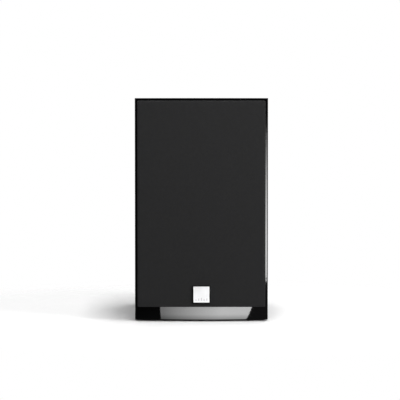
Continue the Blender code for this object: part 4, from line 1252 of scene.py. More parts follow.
@dataclass
class Grille:
    """The pull-off grille: frame, stretched cloth and badge."""

    rail: float = 0.007
    frame_thick: float = 0.02
    frame_gap: float = 0.0003
    frame_soft: float = 0.0004
    frame_columns: int = 36
    window_corner: float = 0.012
    overlap: float = 0.0011
    boss: tuple[float, float, float] = (0.016, 0.0032, 0.0215)
    boss_place: tuple[float, float] = (0.0019, 0.0138)
    corner: float = 0.0016
    edge: float = 0.0006
    cloth: float = 0.0007
    gap: float = 0.0018
    hem: float = 0.002
    peg_radius: float = 0.0025
    peg_length: float = 0.0145
    peg_inset: float = 0.0055
    bar_width: float = 0.0013
    bar_pitch: float = 0.0033
    bar_heights: tuple[float, ...] = (0.0017, 0.0027, 0.0036, 0.0022, 0.0030)
    bar_foot: float = 0.0021
    bar_thick: float = 0.00006
    bow: Bow = field(default_factory=Bow)

    def build(self) -> None:
        """Builds the frame, the cloth and the badge."""
        self.frame()
        self.sheet()
        self.badge()

    def frame(self) -> None:
        """The moulded frame: bowed behind, open in the middle, on four pegs."""
        span = Span.of("grille_frame")
        front, low, high = span.low.y, span.low.z, span.high.z
        half, thick, count = span.size.x / 2, self.frame_thick, self.frame_columns
        form = Form().block((2 * half, thick, high - low), (0, front + thick / 2, (low + high) / 2))
        form.slice(0, [-half + 2 * half * k / count for k in range(1, count)])
        middle = front + thick / 2
        form.push(lambda p: self.bowed(p, self.frame_gap) if p.y > middle else p)
        wide = 2 * (half - self.rail + self.overlap)
        tall = high - low - 2 * self.rail + 2 * self.overlap
        window = Form().block((wide, 3 * thick, tall), (0, middle, (low + high) / 2))
        window.soften(window.through(0.01), self.window_corner, 8)
        deep, up = self.boss_place
        boss = Form().block(self.boss, (0, front + deep, low + up))
        boss.soften(boss.through(0.001), 0.002, 4)
        base = carved(form.mesh("frame"), [window.mesh("window")])
        mesh = carved(base, [boss.mesh("boss"), *self.pegs(span)], "UNION")
        piece = Piece("moulded_grille_frame", "grille", Finishes.PLASTIC, ("grille_frame",))
        soft_edges(piece.build(mesh), self.frame_soft, 50)

    def bowed(self, point: Vector, gap: float) -> Vector:
        """The point moved to the front's curve, that gap ahead of it."""
        return Vector((point.x, self.bow.depth(point.x) - gap, point.z))

    def pegs(self, span: Span) -> list[bpy.types.Mesh]:
        """Round pegs with a collar and a tapered end.

        Args:
            span: The packed frame's box.

        Returns:
            The four pegs.
        """
        tip, root = span.high.y, span.high.y - self.peg_length
        radius, collar, taper = self.peg_radius, self.peg_radius + 0.001, 0.0012
        outline = [(0, root), (collar, root), (collar, root + 0.003), (radius, root + 0.0035),
                   (radius, tip - 0.002), *arc((radius - taper, tip - taper), taper, 0, 90, 5),
                   (0, tip)]
        cloth = Span.of("grille_cloth")
        made = []
        for z in (cloth.low.z + self.peg_inset, cloth.high.z - self.peg_inset):
            for x in (cloth.low.x + self.peg_inset, cloth.high.x - self.peg_inset):
                made.append(Form().turn(outline, FINE_SIDES).shift((x, 0, z)).mesh("peg"))
        return made

    def sheet(self) -> None:
        """The cloth, stretched over the front and wrapped round the frame's sides."""
        span = Span.of("grille_cloth")
        deep = span.size.y
        form = Form().block(span.size, span.middle)
        form.drop(form.faces(lambda face: face.normal.y > 0.5))
        form.soften(form.through(deep / 2), self.corner, 5)
        ahead = span.middle.y - deep / 4
        form.soften(form.edges(lambda a, b: max(a.y, b.y) < ahead and a.y == b.y
                               and self.on_rim(a, span) and self.on_rim(b, span)), self.edge, 4)
        for axis, count in ((0, 40), (2, 60)):
            low, length = span.low[axis], span.size[axis]
            form.slice(axis, [low + length * k / count for k in range(1, count)])
        limit = span.high.y - 1e-4
        form.push(lambda p: self.bowed(p, self.gap) if p.y > limit else p)
        form.bm.normal_update()
        mesh = form.mesh("stretched_cloth", outward=False)
        unfold(mesh, lambda point, normal: wrapped(point, normal, span.low.y))
        piece = Piece("stretched_cloth", "grille", Finishes.CLOTH, ("grille_cloth",)).build(mesh)
        solid = piece.modifiers.new("thickness", "SOLIDIFY")
        solid.thickness, solid.offset = self.cloth, -1.0

    @staticmethod
    def on_rim(point: Vector, span: Span) -> bool:
        """Whether the point lies on the cloth's outer edge, seen from the front."""
        return any(abs(abs(point[k] - span.middle[k]) - span.size[k] / 2) < 0.003 for k in (0, 2))

    def badge(self) -> None:
        """A satin white plate in a thin dark rim, with a plain row of bars."""
        rim, plate = Span.of("badge_holder"), Span.of("badge_plate")
        front = rim.low.y
        form = Form().block((rim.size.x, 0.0013, rim.size.z), (0, front + 0.00065, rim.middle.z))
        form.soften(form.through(0.001), 0.0009, 4)
        form.soften_corners(0.00025, 2)
        stem = Form().disc(0.0015, 0.0044, SCREW_SIDES, 0.001).shift((0, front, rim.middle.z))
        pocket = Form().block((plate.size.x + 0.0004, 0.001, plate.size.z + 0.0004),
                              (0, front - 0.00005, rim.middle.z))
        hollow = carved(form.mesh("rim"), [pocket.mesh("pocket")])
        mesh = carved(hollow, [stem.mesh("stem")], "UNION")
        Piece("badge_rim", "grille", Finishes.RIM, ("badge_holder",)).build(mesh)
        form = Form().block(plate.size, plate.middle)
        form.soften(form.through(0.0003), 0.0006, 4)
        form.soften_corners(0.00012, 2)
        piece = Piece("badge_face", "grille", Finishes.BADGE, ("badge_plate",))
        piece.build(form.mesh("face"), even=True)
        self.bars(plate)

    def bars(self, plate: Span) -> None:
        """Small upright printed bars near the plate's lower edge.

        Args:
            plate: The badge plate's box.
        """
        form = Form()
        count = len(self.bar_heights)
        for index, height in enumerate(self.bar_heights):
            x = (index - (count - 1) / 2) * self.bar_pitch
            form.block((self.bar_width, self.bar_thick, height),
                       (x, plate.low.y - 0.00001, plate.low.z + self.bar_foot + height / 2))
        Piece("badge_bars", "grille", Finishes.PRINT).build(form.mesh("bars"))


@dataclass
class ScrewKind:
    """A screw's head and the shape of its drive."""

    head: float
    rise: float
    shank: float
    reach: float
    drive: float = 0.45

    def mesh(self, name: str, places: Sequence[Vector], outward: float = -1.0) -> bpy.types.Mesh:
        """The screws as one mesh.

        Args:
            name: The mesh's name.
            places: The seat of each head.
            outward: The Y direction that the heads face.

        Returns:
            The new mesh.
        """
        dome = arc((self.head - self.rise * 0.8, -self.rise * 0.2), self.rise * 0.8, 0, -90, 5)
        outline = [(0, -self.rise), *dome[::-1], (self.head, -0.0001), (self.shank, -0.0001),
                   (self.shank, self.reach - 0.002), (0, self.reach)]
        blank = Form().turn(outline, SCREW_SIDES).mesh("screw_blank")
        slot = self.head * self.drive
        thin = slot * 0.42
        tools = [
            Form().block(size, (0, -self.rise, 0)).mesh("drive")
            for size in ((slot * 2, self.rise, thin), (thin, self.rise * 1.02, slot * 2))
        ]
        form = Form()
        form.bm.from_mesh(carved(blank, tools))
        if outward > 0:
            form.face_along("Z", math.pi)
        return form.copies(places).mesh(name)


def seats(nodes: Sequence[str], outward: float, depth: float) -> list[Vector]:
    """The seat of each packed screw's head, depth metres in from its outer end.

    Args:
        nodes: The screws' names.
        outward: The Y direction that the heads face.
        depth: How far the seat lies under the head's top.

    Returns:
        One place for each screw.
    """
    made = []
    for node in nodes:
        span = Span.of(node)
        y = span.low.y + depth if outward < 0 else span.high.y - depth
        made.append(Vector((span.middle.x, y, span.middle.z)))
    return made


def numbered(stem: str, count: int) -> tuple[str, ...]:
    """The names stem_1 to stem_count."""
    return tuple(f"{stem}_{index}" for index in range(1, count + 1))


@dataclass
class Woofer:
    """The woofer: trim ring, half-roll surround, cone and dust cap."""

    trim_outer: float = 0.0681
    trim_inner: float = 0.0598
    trim_lift: float = 0.0007
    trim_skirt: float = 0.0032
    roll_radius: float = 0.0046
    roll_centre: float = 0.0514
    roll_rise: float = 0.0009
    roll_thick: float = 0.0006
    ledge: float = 0.0012
    lip_outer: float = 0.0605
    lip_inner: float = 0.0438
    cone_radius: float = 0.0468
    cone_lip: float = 0.003
    cone_thick: float = 0.0008
    cap_thick: float = 0.0006
    neck_radius: float = 0.0132
    neck_depth: float = 0.020
    flare: float = 0.0022
    spider_thick: float = 0.0005
    spider_waves: int = 4
    screw: ScrewKind = field(default_factory=lambda: ScrewKind(0.0028, 0.0018, 0.0013, 0.012))
    axis: Vector = field(default_factory=lambda: Vector(WOOFER_AXIS))

    def build(self) -> None:
        """Builds what shows, and dresses what is inside."""
        self.trim()
        self.surround()
        self.cone()
        self.cap()
        self.spider()
        nodes = numbered("woofer_screw", 4)
        mesh = self.screw.mesh("woofer_screws", seats(nodes, -1.0, self.screw.rise))
        Piece("woofer_screws", "cabinet", Finishes.STEEL, nodes).build(mesh)
        dress_packed("woofer_basket", Finishes.STEEL)
        dress_packed("woofer_voice_coil", Finishes.COPPER)
        dress_packed("woofer_top_plate", Finishes.ZINC)
        dress_packed("woofer_yoke", Finishes.ZINC)
        dress_packed("woofer_magnet", Finishes.FERRITE)

    def trim(self) -> None:
        """The ring that covers the basket's flange."""
        outer, inner, lift = self.trim_outer, self.trim_inner, self.trim_lift
        under, skirt, step = outer - 0.0001, self.trim_skirt, inner + 0.0022
        outline = [(outer, skirt), *arc((outer - lift, 0.0), lift, 0, -90, 5),
                   *arc((inner + lift, 0.0), lift, -90, -180, 5), (inner, 0.0004),
                   (step, 0.0004), (step, -0.0002), (under, -0.0001), (under, skirt)]
        form = Form().turn(outline).shift(self.axis)
        Piece("woofer_trim", "cabinet", Finishes.SATIN).build(form.mesh("woofer_trim"))

    def roll(self) -> tuple[Outline, Outline]:
        """The surround's front and back lines, from its outer to its inner lip.

        Returns:
            The front line and the back line.
        """
        high, thick = self.ledge - self.roll_rise, self.roll_thick
        front = arc((self.roll_centre, high), self.roll_radius, 0, -180, 18)
        back = arc((self.roll_centre, high + thick), self.roll_radius - thick, 0, -180, 18)
        return front, back

    def surround(self) -> None:
        """The rubber half roll, which bends as the cone moves."""
        front, back = self.roll()
        high = self.ledge - self.roll_rise
        low = high + self.roll_thick
        outline = [(self.lip_outer, low), (self.lip_outer, high), *front, (self.lip_inner, high),
                   (self.lip_inner, low), *back[::-1]]
        mesh = Form().turn(outline).shift(self.axis).mesh("woofer_half_roll")
        bent("woofer_half_roll", mesh, Finishes.RUBBER, "woofer_surround", "woofer_moving",
             self.axis, self.cone_radius, self.roll_centre + self.roll_radius)

    def line(self, radius: float) -> float:
        """The cone's depth at a radius, with a slight flare.

        Args:
            radius: The distance from the axis.

        Returns:
            The depth behind the flange's face.
        """
        rim = self.cone_radius - self.cone_lip
        share = (rim - radius) / (rim - self.neck_radius)
        straight = self.ledge + share * (self.neck_depth - self.ledge)
        return straight - self.flare * share * (1 - share)

    def cone(self) -> None:
        """The pressed cone with its gently curved flank."""
        rim, thick = self.cone_radius - self.cone_lip, self.cone_thick
        radii = [self.neck_radius + (rim - self.neck_radius) * k / 24 for k in range(25)]
        front = [(radius, self.line(radius)) for radius in radii]
        back = [(radius, depth + thick) for radius, depth in front[::-1]]
        outline = [*front, (self.cone_radius, self.ledge), (self.cone_radius, self.ledge + thick),
                   *back]
        form = Form().turn(outline).shift(self.axis)
        piece = Piece("pulp_cone", "woofer_moving", Finishes.PULP, ("woofer_cone",))
        piece.build(form.mesh("cone"))

    def cap(self) -> None:
        """The domed cap over the coil, with a small glued foot."""
        span = Span.of("woofer_dust_cap")
        radius, height = span.size.x / 2, span.size.y
        foot = self.line(radius) - 0.0002
        sphere, widest = dome_of(radius, height)
        centre, thick = (0, foot - height + sphere), self.cap_thick
        front = arc(centre, sphere, -90 + widest, -90, 20)
        back = [(max(0.0, r), d) for r, d in arc(centre, sphere - thick, -90, -90 + widest, 20)]
        front[-1], back[0] = (0.0, front[-1][1]), (0.0, back[0][1])
        form = Form().turn([(radius + thick, foot), *front, *back]).shift(self.axis)
        piece = Piece("dust_cap_dome", "woofer_moving", Finishes.PULP, ("woofer_dust_cap",))
        piece.build(form.mesh("cap"))

    def spider(self) -> None:
        """The corrugated centring disc, which bends as the coil moves."""
        span = Span.of("woofer_spider")
        thick = self.spider_thick
        outer, inner, wave = span.size.x / 2, self.neck_radius, span.size.y - thick
        middle = span.high.y - self.axis.y - thick
        crest = [
            (inner + (outer - inner) * k / 96,
             middle - wave / 2 * (1 - math.cos(math.tau * self.spider_waves * k / 96)))
            for k in range(97)
        ]
        outline = [*crest, *[(r, d + thick) for r, d in crest[::-1]]]
        mesh = Form().turn(outline, 96).shift(self.axis).mesh("centring_disc")
        bent("centring_disc", mesh, Finishes.SPIDER, "woofer_spider", "woofer_moving",
             self.axis, inner + 0.002, outer - 0.002)


def bent(name: str, mesh: bpy.types.Mesh, finish: Finish, node: str, mover: str,
         axis: Vector, inner: float, outer: float) -> None:
    """Places a ring that bends between the cabinet and a moving body.

    Args:
        name: The piece's name.
        mesh: Its mesh.
        finish: Its finish.
        node: The packed node it stands for.
        mover: The body that its inner edge follows.
        axis: A point on its axis.
        inner: The radius inside which it follows the mover.
        outer: The radius outside which it stays.
    """
    obj = linked(name, mesh)
    mesh.materials.append(finish.material())
    bend_about(obj, "cabinet", mover, axis, inner, outer)
    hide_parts(node)
    log.info("%s bends between cabinet and %s", name, mover)


@dataclass
class Tweeter:
    """The tweeter: faceplate with a short horn, silk dome and its motor."""

    plate_soft: float = 0.0009
    mouth: float = 0.027
    throat: float = 0.0155
    horn_curve: float = 1.7
    dome: float = 0.0126
    dome_foot: float = 0.0048
    silk: float = 0.0003
    roll: float = 0.0012
    lip: float = 0.0025
    screw: ScrewKind = field(default_factory=lambda: ScrewKind(0.0023, 0.0015, 0.0011, 0.013))
    axis: Vector = field(default_factory=lambda: Vector(TWEETER_AXIS))

    def build(self) -> None:
        """Builds what shows, and dresses what is inside."""
        self.faceplate()
        self.diaphragm()
        nodes = numbered("tweeter_screw", 3)
        mesh = self.screw.mesh("tweeter_screws", seats(nodes, -1.0, self.screw.rise))
        Piece("tweeter_screws", "cabinet", Finishes.STEEL, nodes).build(mesh)
        dress_packed("tweeter_voice_coil", Finishes.COPPER)
        dress_packed("tweeter_top_plate", Finishes.ZINC)
        dress_packed("tweeter_yoke", Finishes.ZINC)
        dress_packed("tweeter_magnet", Finishes.FERRITE)

    def faceplate(self) -> None:
        """The plate, rounded at its rim and curved into the horn's throat."""
        span = TWEETER
        outer, thick, soft = span.size.x / 2, span.size.y, self.plate_soft
        horn = [
            (self.throat + (self.mouth - self.throat) * share,
             (thick - 0.0007) * (1 - share) ** self.horn_curve)
            for share in (k / 16 for k in range(16, -1, -1))
        ]
        outline = [(outer, thick), *arc((outer - soft, soft), soft, 0, -90, 6),
                   (self.mouth + 0.0012, 0.0), (self.mouth + 0.0006, 0.0003), *horn[1:],
                   (self.throat, thick)]
        form = Form().turn(outline).shift(self.axis)
        piece = Piece("horn_plate", "cabinet", Finishes.SATIN, ("tweeter_faceplate",))
        piece.build(form.mesh("plate"))

    def diaphragm(self) -> None:
        """The silk dome and its small roll, which bends as the dome moves."""
        span = Span.of("tweeter_diaphragm")
        rim, apex = self.dome_foot, span.low.y - self.axis.y
        sphere, widest = dome_of(self.dome, rim - apex)
        front = arc((0, apex + sphere), sphere, -90, -90 + widest, 16)
        front[0] = (0.0, front[0][1])
        roll = arc((self.dome + self.roll, rim), self.roll, -180, 0, 10)
        lip = self.dome + 2 * self.roll + self.lip
        line = [*front, *roll[1:], (lip, rim)]
        back = [(max(0.0, radius), depth + self.silk) for radius, depth in line[::-1]]
        mesh = Form().turn([*line, *back], 96).shift(self.axis).mesh("silk_dome")
        bent("silk_dome", mesh, Finishes.SILK, "tweeter_diaphragm", "tweeter_moving",
             self.axis, self.dome, self.dome + 2 * self.roll)


class Pole(Enum):
    """The two binding posts."""

    RED = "red"
    BLACK = "black"


@dataclass
class RearFittings:
    """The port, the terminal cup and the binding posts."""

    port_bore: float = 0.017
    port_flare: float = 0.008
    port_flange: float = 0.0017
    port_wall: float = 0.002
    port_soft: float = 0.0008
    inner_flare: float = 0.0035
    inner_length: float = 0.007
    dish: tuple[float, float] = (0.056, 0.040)
    dish_wall: float = 0.0025
    cup_flange: float = 0.002
    cup_soft: float = 0.0003
    stud_hole: float = 0.0034
    flutes: int = 20
    flute_depth: float = 0.075
    cap_bore: float = 0.0033
    cap_soft: float = 0.0008
    ring_soft: float = 0.0003
    ring_radius: float = 0.0056
    screw: ScrewKind = field(default_factory=lambda: ScrewKind(0.0028, 0.0018, 0.0013, 0.010))

    def build(self) -> None:
        """Builds the port, the cup and both posts."""
        self.port()
        self.cup()
        self.marks()
        for pole in Pole:
            self.post(pole)
        nodes = numbered("terminal_screw", 4)
        mesh = self.screw.mesh("cup_screws", seats(nodes, 1.0, self.screw.rise), 1.0)
        Piece("cup_screws", "cabinet", Finishes.STEEL, nodes).build(mesh)

    def port(self) -> None:
        """The port's tube, flared at both ends."""
        span = Span.of("port_tube")
        flange, bore, flare = span.size.x / 2, self.port_bore, self.port_flare
        end, soft, wall = span.low.y - span.high.y, self.port_soft, self.port_wall
        inner, long = self.inner_flare, self.inner_length
        mouth = arc((bore + flare, -flare), flare, 90, 180, 14)
        mouth_wall = bore + flare + wall
        outline = [(flange, -self.port_flange), *arc((flange - soft, -soft), soft, 0, 90, 5),
                   *mouth, (bore, end + long),
                   *[(bore + inner * (k / 6) ** 2, end + long * (1 - k / 6)) for k in range(1, 7)],
                   (bore + inner + wall, end), (bore + wall, end + long), (bore + wall, -0.017),
                   (mouth_wall, -0.015), (mouth_wall, -self.port_flange)]
        form = Form().turn(outline).shift((0, span.high.y, span.middle.z))
        Piece("flared_port", "cabinet", Finishes.SATIN, ("port_tube",)).build(form.mesh("port"))

    def cup(self) -> None:
        """The moulded cup: a rounded flange round a dish with soft edges."""
        span = TERMINALS
        face, depth = span.high.y, span.size.y
        thick = self.cup_flange
        middle = (0, face - thick / 2, span.middle.z)
        flange = Form().block((span.size.x, thick, span.size.z), middle)
        flange.soften(flange.through(0.001), 0.008, 8)
        flange.soften(flange.edges(lambda a, b: min(a.y, b.y) > face - 0.0002), 0.0007, 3)
        width, height = self.dish
        wall, behind = self.dish_wall, thick / 2
        shell = Form().block((width + 2 * wall, depth - behind, height + 2 * wall),
                             (0, face - behind - (depth - behind) / 2, span.middle.z))
        shell.soften(shell.through(0.004), 0.0075, 8)
        dish = Form().block((width, depth, height), (0, face + wall - depth / 2, span.middle.z))
        dish.soften(dish.through(0.004), 0.005, 8)
        dish.soften(dish.edges(lambda a, b: max(a.y, b.y) < face - depth / 2), 0.0012, 4)
        joined = carved(flange.mesh("flange"), [shell.mesh("shell")], "UNION")
        tools = [dish.mesh("dish")]
        for pole in Pole:
            stud = Span.of(f"post_{pole.value}_stud")
            hole = Form().disc(self.stud_hole, 0.01, SCREW_SIDES, -0.01)
            hole.shift((stud.middle.x, face - depth + 0.001, span.middle.z))
            tools.append(hole.mesh("hole"))
        mesh = carved(joined, tools)
        obj = Piece("terminal_dish", "cabinet", Finishes.PLASTIC, ("terminal_cup",)).build(mesh)
        soft_edges(obj, self.cup_soft, 60)

    def marks(self) -> None:
        """A raised plus and minus beside the posts, for polarity."""
        floor = Span.of("post_red_stud").high.y - 0.0195
        size, line, lift = 0.0036, 0.0008, 0.0004
        red, black = (Span.of(f"post_{pole.value}_cap").middle for pole in (Pole.RED, Pole.BLACK))
        z = TERMINALS.middle.z + 0.0125
        form = Form()
        form.block((size, lift, line), (red.x, floor + lift / 2, z))
        form.block((line, lift * 0.98, size), (red.x, floor + lift / 2, z))
        form.block((size, lift, line), (black.x, floor + lift / 2, z))
        Piece("polarity_marks", "cabinet", Finishes.BADGE).build(form.mesh("marks"))

    def post(self, pole: Pole) -> None:
        """One binding post: its stud, its loose washer and its fluted cap.

        Args:
            pole: Which post.
        """
        word = pole.value
        cap, stud = Span.of(f"post_{word}_cap"), Span.of(f"post_{word}_stud")
        washer = Span.of(f"post_{word}_washer")
        radius, bore, length = cap.size.x / 2, self.cap_bore, cap.size.y
        soft = self.cap_soft
        outline = [(bore, 0.0), *arc((radius - soft, soft), soft, -90, 0, 4),
                   *[(radius, soft + (length - 3 * soft) * k / 8) for k in range(1, 8)],
                   *arc((radius - soft, length - soft), soft, 0, 90, 5), (bore + 0.0005, length),
                   (bore, length - 0.0005)]
        form = Form().turn(outline, self.flutes * 8)
        form.push(lambda p: self.fluted(p, radius, length))
        form.shift(cap.front)
        finish = Finishes.RED if pole is Pole.RED else Finishes.PLASTIC
        piece = Piece(f"{word}_fluted_cap", f"post_{word}_knob", finish, (f"post_{word}_cap",))
        piece.build(form.mesh(f"{word}_cap"))
        self.stud(word, stud)
        soft, thick = self.ring_soft, washer.size.y
        rim = self.ring_radius - soft
        outline = [(bore, 0.0002), (bore + 0.0002, 0.0), *arc((rim, soft), soft, -90, 0, 3),
                   *arc((rim, thick - soft), soft, 0, 90, 3), (bore, thick)]
        form = Form().turn(outline, FINE_SIDES)
        form.shift(washer.front)
        piece = Piece(f"{word}_clamp_ring", f"post_{word}_clamp", Finishes.GOLD,
                      (f"post_{word}_washer",))
        piece.build(form.mesh(f"{word}_ring"))

    def fluted(self, point: Vector, radius: float, length: float) -> Vector:
        """A cap's point moved in where a flute crosses its outer wall.

        Args:
            point: The point, about the cap's own axis.
            radius: The cap's radius.
            length: The cap's length.

        Returns:
            The point's new place.
        """
        reach = math.hypot(point.x, point.z)
        if reach < radius - 0.0009 or not self.cap_soft < point.y < length - 0.0012:
            return point
        wave = max(0.0, math.cos(self.flutes * math.atan2(point.z, point.x)))
        factor = 1 - self.flute_depth * wave
        return Vector((point.x * factor, point.y, point.z * factor))

    def stud(self, word: str, span: Span) -> None:
        """The plated stud: flange, cross hole, thread and plug socket.

        Args:
            word: The post's colour in its pieces' names.
            span: The packed stud's box.
        """
        end = span.size.y
        flange, core, base = 0.0056, 0.0030, 0.0133
        top, chamfer, socket, deep = base + 0.0015, 0.0004, 0.0020, end - 0.014
        turns, start, pitch, groove = 14, base + 0.0047, 0.0008, 0.00025
        thread: Outline = []
        for k in range(turns):
            y = start + k * pitch
            thread += [(core, y), (core - groove, y + pitch / 2)]
        outline = [(0, 0), (core, 0), (core, base), (flange, base), (flange, top - 0.0003),
                   (flange - 0.0003, top), (core, top), *thread, (core, end - chamfer),
                   (core - chamfer, end), (socket + chamfer, end), (socket, end - chamfer),
                   (socket, deep), (0, deep)]
        form = Form().turn(outline, FINE_SIDES).shift(span.front)
        cross = 0.0011
        hole = Form().disc(cross, 0.01, SCREW_SIDES, -0.01).face_along("X", math.pi / 2)
        hole.shift((span.middle.x, span.low.y + base + 0.0029, span.middle.z))
        mesh = carved(form.mesh(f"{word}_stud"), [hole.mesh("cross_hole")])
        Piece(f"{word}_plated_stud", "cabinet", Finishes.GOLD, (f"post_{word}_stud",)).build(mesh)


@dataclass
class Crossover:
    """The filter board and the leads, which stay as packed and take their finishes."""

    finishes: dict[str, Finish] = field(default_factory=lambda: {
        "crossover_board": Finishes.BOARD,
        "capacitor": Finishes.FILM,
        "resistor": Finishes.CEMENT,
        "woofer_lead": Finishes.RUBBER,
        "tweeter_lead": Finishes.RUBBER,
    })

    def build(self) -> None:
        """Dresses each part."""
        for node, finish in self.finishes.items():
            dress_packed(node, finish)
        for node in ("inductor_woofer", "inductor_tweeter"):
            middle = Span.of(node).middle
            winding = Winding(f"{node}_wire", "copper", Finishes.COPPER.colour, 0.32, 1.0,
                              centre=tuple(middle), wire=0.0011)
            dress_packed(node, winding)


# ---- Studio ------------------------------------------------------------------


@dataclass
class Card:
    """A bright card that only mirror-like surfaces see.

    Its corners run round it from (u, v) = (0, 0) by (1, 0) and (1, 1) to (0, 1), and its
    brightness is the product of a level looked up along u and one along v.
    """

    name: str
    corners: tuple[tuple[float, float, float], ...]
    across: list[tuple[float, float]]
    upward: list[tuple[float, float]]
    cells: int = 16

    def build(self) -> bpy.types.Object:
        """Builds the card between its corners.

        Returns:
            The card's object.
        """
        bm = bmesh.new()
        bm.loops.layers.uv.new("card")
        bmesh.ops.create_grid(bm, x_segments=self.cells, y_segments=self.cells, size=0.5,
                              calc_uvs=True)
        first, second, third, fourth = (Vector(corner) for corner in self.corners)
        for vert in bm.verts:
            u, v = vert.co.x + 0.5, vert.co.y + 0.5
            vert.co = first.lerp(second, u).lerp(fourth.lerp(third, u), v)
        mesh = bpy.data.meshes.new(self.name)
        bm.to_mesh(mesh)
        bm.free()
        card = linked(self.name, mesh)
        mesh.materials.append(self.material())
        for sight in ("camera", "diffuse", "transmission", "shadow", "volume_scatter"):
            setattr(card, f"visible_{sight}", False)
        card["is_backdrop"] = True
        return card

    def material(self) -> bpy.types.Material:
        """An emission that follows the levels.

        Returns:
            The material.
        """
        made = bpy.data.materials.new(self.name)
        made.use_nodes = True
        made.node_tree.nodes.clear()
        tree = Tree(made.node_tree)
        place = tree.add("SeparateXYZ", {0: tree.add("TexCoord").outputs["UV"]}).outputs
        strength = tree.math("MULTIPLY", self.level(tree, place[0], self.across),
                             self.level(tree, place[1], self.upward))
        glow = tree.add("Emission", {"Strength": strength})
        out = tree.add("OutputMaterial")
        tree.tree.links.new(glow.outputs[0], out.inputs["Surface"])
        return made

    @staticmethod
    def level(tree: Tree, value: Socket, stops: list[tuple[float, float]]) -> Socket:
        """The level at a place between stops of (place, level).

        Args:
            tree: The nodes to add to.
            value: The place.
            stops: Places in rising order, each with its level.

        Returns:
            The level.
        """
        total: Socket | None = None
        for (start, low), (end, high) in zip(stops, stops[1:]):
            part = tree.add("MapRange", {"Value": value, "From Min": start, "From Max": end,
                                         "To Min": 0.0, "To Max": high - low}).outputs["Result"]
            total = part if total is None else tree.math("ADD", total, part)
        return tree.math("ADD", total, stops[0][1])


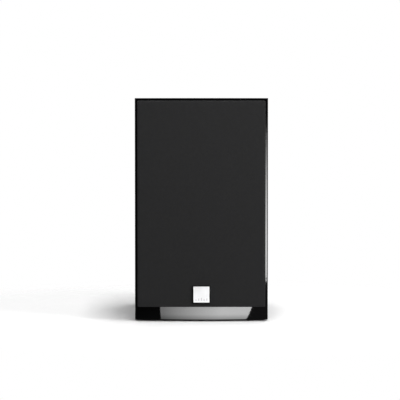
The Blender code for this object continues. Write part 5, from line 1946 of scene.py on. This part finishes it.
@dataclass
class Studio:
    """The floor, lights, cards and camera."""

    eye: tuple[float, float, float] = (-0.0017, -2.3055, 0.248)
    lens: float = 163.3
    tilt: float = math.radians(2.604)
    floor_reach: float = 0.75
    floor_fade: tuple[float, float] = (0.45, 0.195)
    floor_tone: float = 0.94
    sky_seen: float = 1.0
    sky_soft: float = 0.35
    sky_gloss: float = 0.03

    def build(self) -> None:
        """Builds the whole studio."""
        self.floor()
        self.camera()
        self.lights()
        self.cards()
        self.world()
        bpy.context.scene.view_settings.view_transform = "Standard"

    def floor(self) -> None:
        """A pale floor that fades into the white round it, unseen by mirror-like surfaces."""
        bm = bmesh.new()
        bmesh.ops.create_circle(bm, cap_ends=True, radius=self.floor_reach, segments=96)
        mesh = bpy.data.meshes.new("floor")
        bm.to_mesh(mesh)
        bm.free()
        floor = linked("floor", mesh)
        paper = bpy.data.materials.new("floor_paper")
        paper.use_nodes = True
        shader = paper.node_tree.nodes["Principled BSDF"]
        shader.inputs["Roughness"].default_value = 1.0
        shader.inputs["Specular IOR Level"].default_value = 0.0
        tone = self.floor_tone
        shader.inputs["Base Color"].default_value = (tone, tone, tone, 1.0)
        tree = Tree(paper.node_tree)
        place = tree.add("TexCoord").outputs["Object"]
        reach = tree.add("VectorMath", {0: place}, operation="LENGTH").outputs["Value"]
        bare, full = self.floor_fade
        inputs = {"Value": reach, "From Min": bare, "From Max": full}
        fade = tree.add("MapRange", inputs, interpolation_type="SMOOTHSTEP").outputs["Result"]
        paper.node_tree.links.new(fade, shader.inputs["Alpha"])
        mesh.materials.append(paper)
        floor.visible_glossy = floor.visible_diffuse = False
        floor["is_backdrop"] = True

    def camera(self) -> None:
        """A long lens, a little above the speaker's middle and tilted down to it."""
        data = bpy.data.cameras.new("camera")
        data.lens = self.lens
        data.sensor_width = 36.0
        data.clip_start, data.clip_end = 0.05, 100.0
        camera = linked("camera", data)
        camera.location = self.eye
        camera.rotation_euler = (math.pi / 2 - self.tilt, 0.0, 0.0)
        bpy.context.scene.camera = camera

    def lights(self) -> None:
        """Soft boxes that light the object without showing in its gloss."""
        boxes = (
            ("top_left", (-0.085, -0.16, 1.15), (-0.085, -0.16, 0.0), (0.17, 1.3), 3.4),
            ("top_right", (0.085, -0.16, 1.15), (0.085, -0.16, 0.0), (0.17, 1.3), 9.0),
            ("front", (0.92, -0.72, 0.50), (0.0, 0.0, 0.14), (0.45, 0.45), 9.6),
            ("rear", (-0.7, 1.9, 0.5), (0.0, 0.0, 0.13), (0.9, 0.9), 3.0),
        )
        for name, place, target, size, power in boxes:
            data = bpy.data.lights.new(name, "AREA")
            data.shape, data.energy = "RECTANGLE", power
            data.size, data.size_y = size
            light = linked(name, data)
            light.location = place
            aim = Vector(target) - Vector(place)
            light.rotation_euler = aim.to_track_quat("-Z", "Y").to_euler()
            light.visible_glossy = False
            light.visible_camera = False

    def cards(self) -> None:
        """What the gloss reflects: a bright and a dim floor panel, and upright panels round it."""
        low = 0.0004
        # card_ground dims towards its edge at the speaker's front: painted shade standing in for the contact
        # shadow on the floor there, as the gloss reflects it.
        Card("card_ground",
             ((-0.0499, -0.1071, low), (0.0543, -0.1062, low), (0.1105, -0.275, low),
              (-0.089, -0.275, low)),
             [(0, 3.5), (0.035, 3.7), (0.21, 6.1), (0.44, 9.2), (0.67, 12.0), (1, 12.0)],
             [(0, 0.35), (0.065, 0.45), (0.14, 0.6), (0.21, 0.68), (0.285, 0.79), (0.363, 0.93),
              (0.45, 1), (1, 1)],
             ).build()
        low = 0.0002
        Card("card_dim",
             ((-0.4, -0.09, low), (0.4, -0.09, low), (0.4, -0.6, low), (-0.4, -0.6, low)),
             [(0.37, 0.03), (0.63, 0.12)], [(0, 1), (1, 1)]).build()
        low, high = -0.14, 0.225
        tones = ((-0.1296, 10.9), (-0.11, 11.3), (-0.0528, 11.5), (-0.0146, 10.85), (0.0236, 9.8),
                 (0.0618, 8.5), (0.1, 7.1), (0.138, 5.0), (0.1762, 3.2), (0.2142, 1.2),
                 (0.225, 0.6))
        upward = [((z - low) / (high - low), tone) for z, tone in tones]
        Card("card_side",
             ((0.8, -2.4, low - 0.03), (0.8, -1.75, low + 0.03), (0.8, -1.75, high),
              (0.8, -2.4, high)),
             [(0.3, 0.6), (0.6, 1.3)], upward).build()
        Card("card_rear", ((-1.4, 2.2, 0.1), (1.4, 2.2, 0.1), (1.4, 1.5, 1.9), (-1.4, 1.5, 1.9)),
             [(0, 1.3), (1, 0.8)], [(0, 0.4), (1, 1.2)]).build()
        Card("card_left", ((-2.0, 0.1, 0.0), (-2.0, 1.5, 0.0), (-1.7, 1.5, 1.4), (-1.7, 0.1, 1.4)),
             [(0, 1.2), (1, 1.2)], [(0, 0.3), (1, 1.2)]).build()

    def world(self) -> None:
        """White to the camera and dim to the object."""
        world = bpy.data.worlds.new("world")
        bpy.context.scene.world = world
        world.use_nodes = True
        world.node_tree.nodes.clear()
        tree = Tree(world.node_tree)
        sight = tree.add("LightPath").outputs
        seen, soft, dark = (
            tree.add("Background", {"Color": (1, 1, 1, 1), "Strength": strength}).outputs[0]
            for strength in (self.sky_seen, self.sky_soft, self.sky_gloss)
        )
        lit = tree.add("MixShader", {0: sight["Is Glossy Ray"], 1: soft, 2: dark}).outputs[0]
        mixed = tree.add("MixShader", {0: sight["Is Camera Ray"], 1: lit, 2: seen})
        out = tree.add("OutputWorld")
        tree.tree.links.new(mixed.outputs[0], out.inputs["Surface"])


def save_sizes(before: tuple[Vector, Vector], after: tuple[Vector, Vector]) -> None:
    """Writes the packed and the finished boxes.

    Args:
        before: The box of the packed model.
        after: The box with the new pieces.
    """
    packed, visual = ([list(corner) for corner in box] for box in (before, after))


def main() -> None:
    """Builds the speaker and its studio."""
    logging.basicConfig(level=logging.INFO, format="%(message)s")
    Studio().build()
    for kind in (Cabinet, GrilleFittings, Grille, Woofer, Tweeter, RearFittings, Crossover):
        log.info("%s", kind.__doc__)
        kind().build()
    save_sizes(packed_box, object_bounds())


if __name__ == "__main__":
    main()
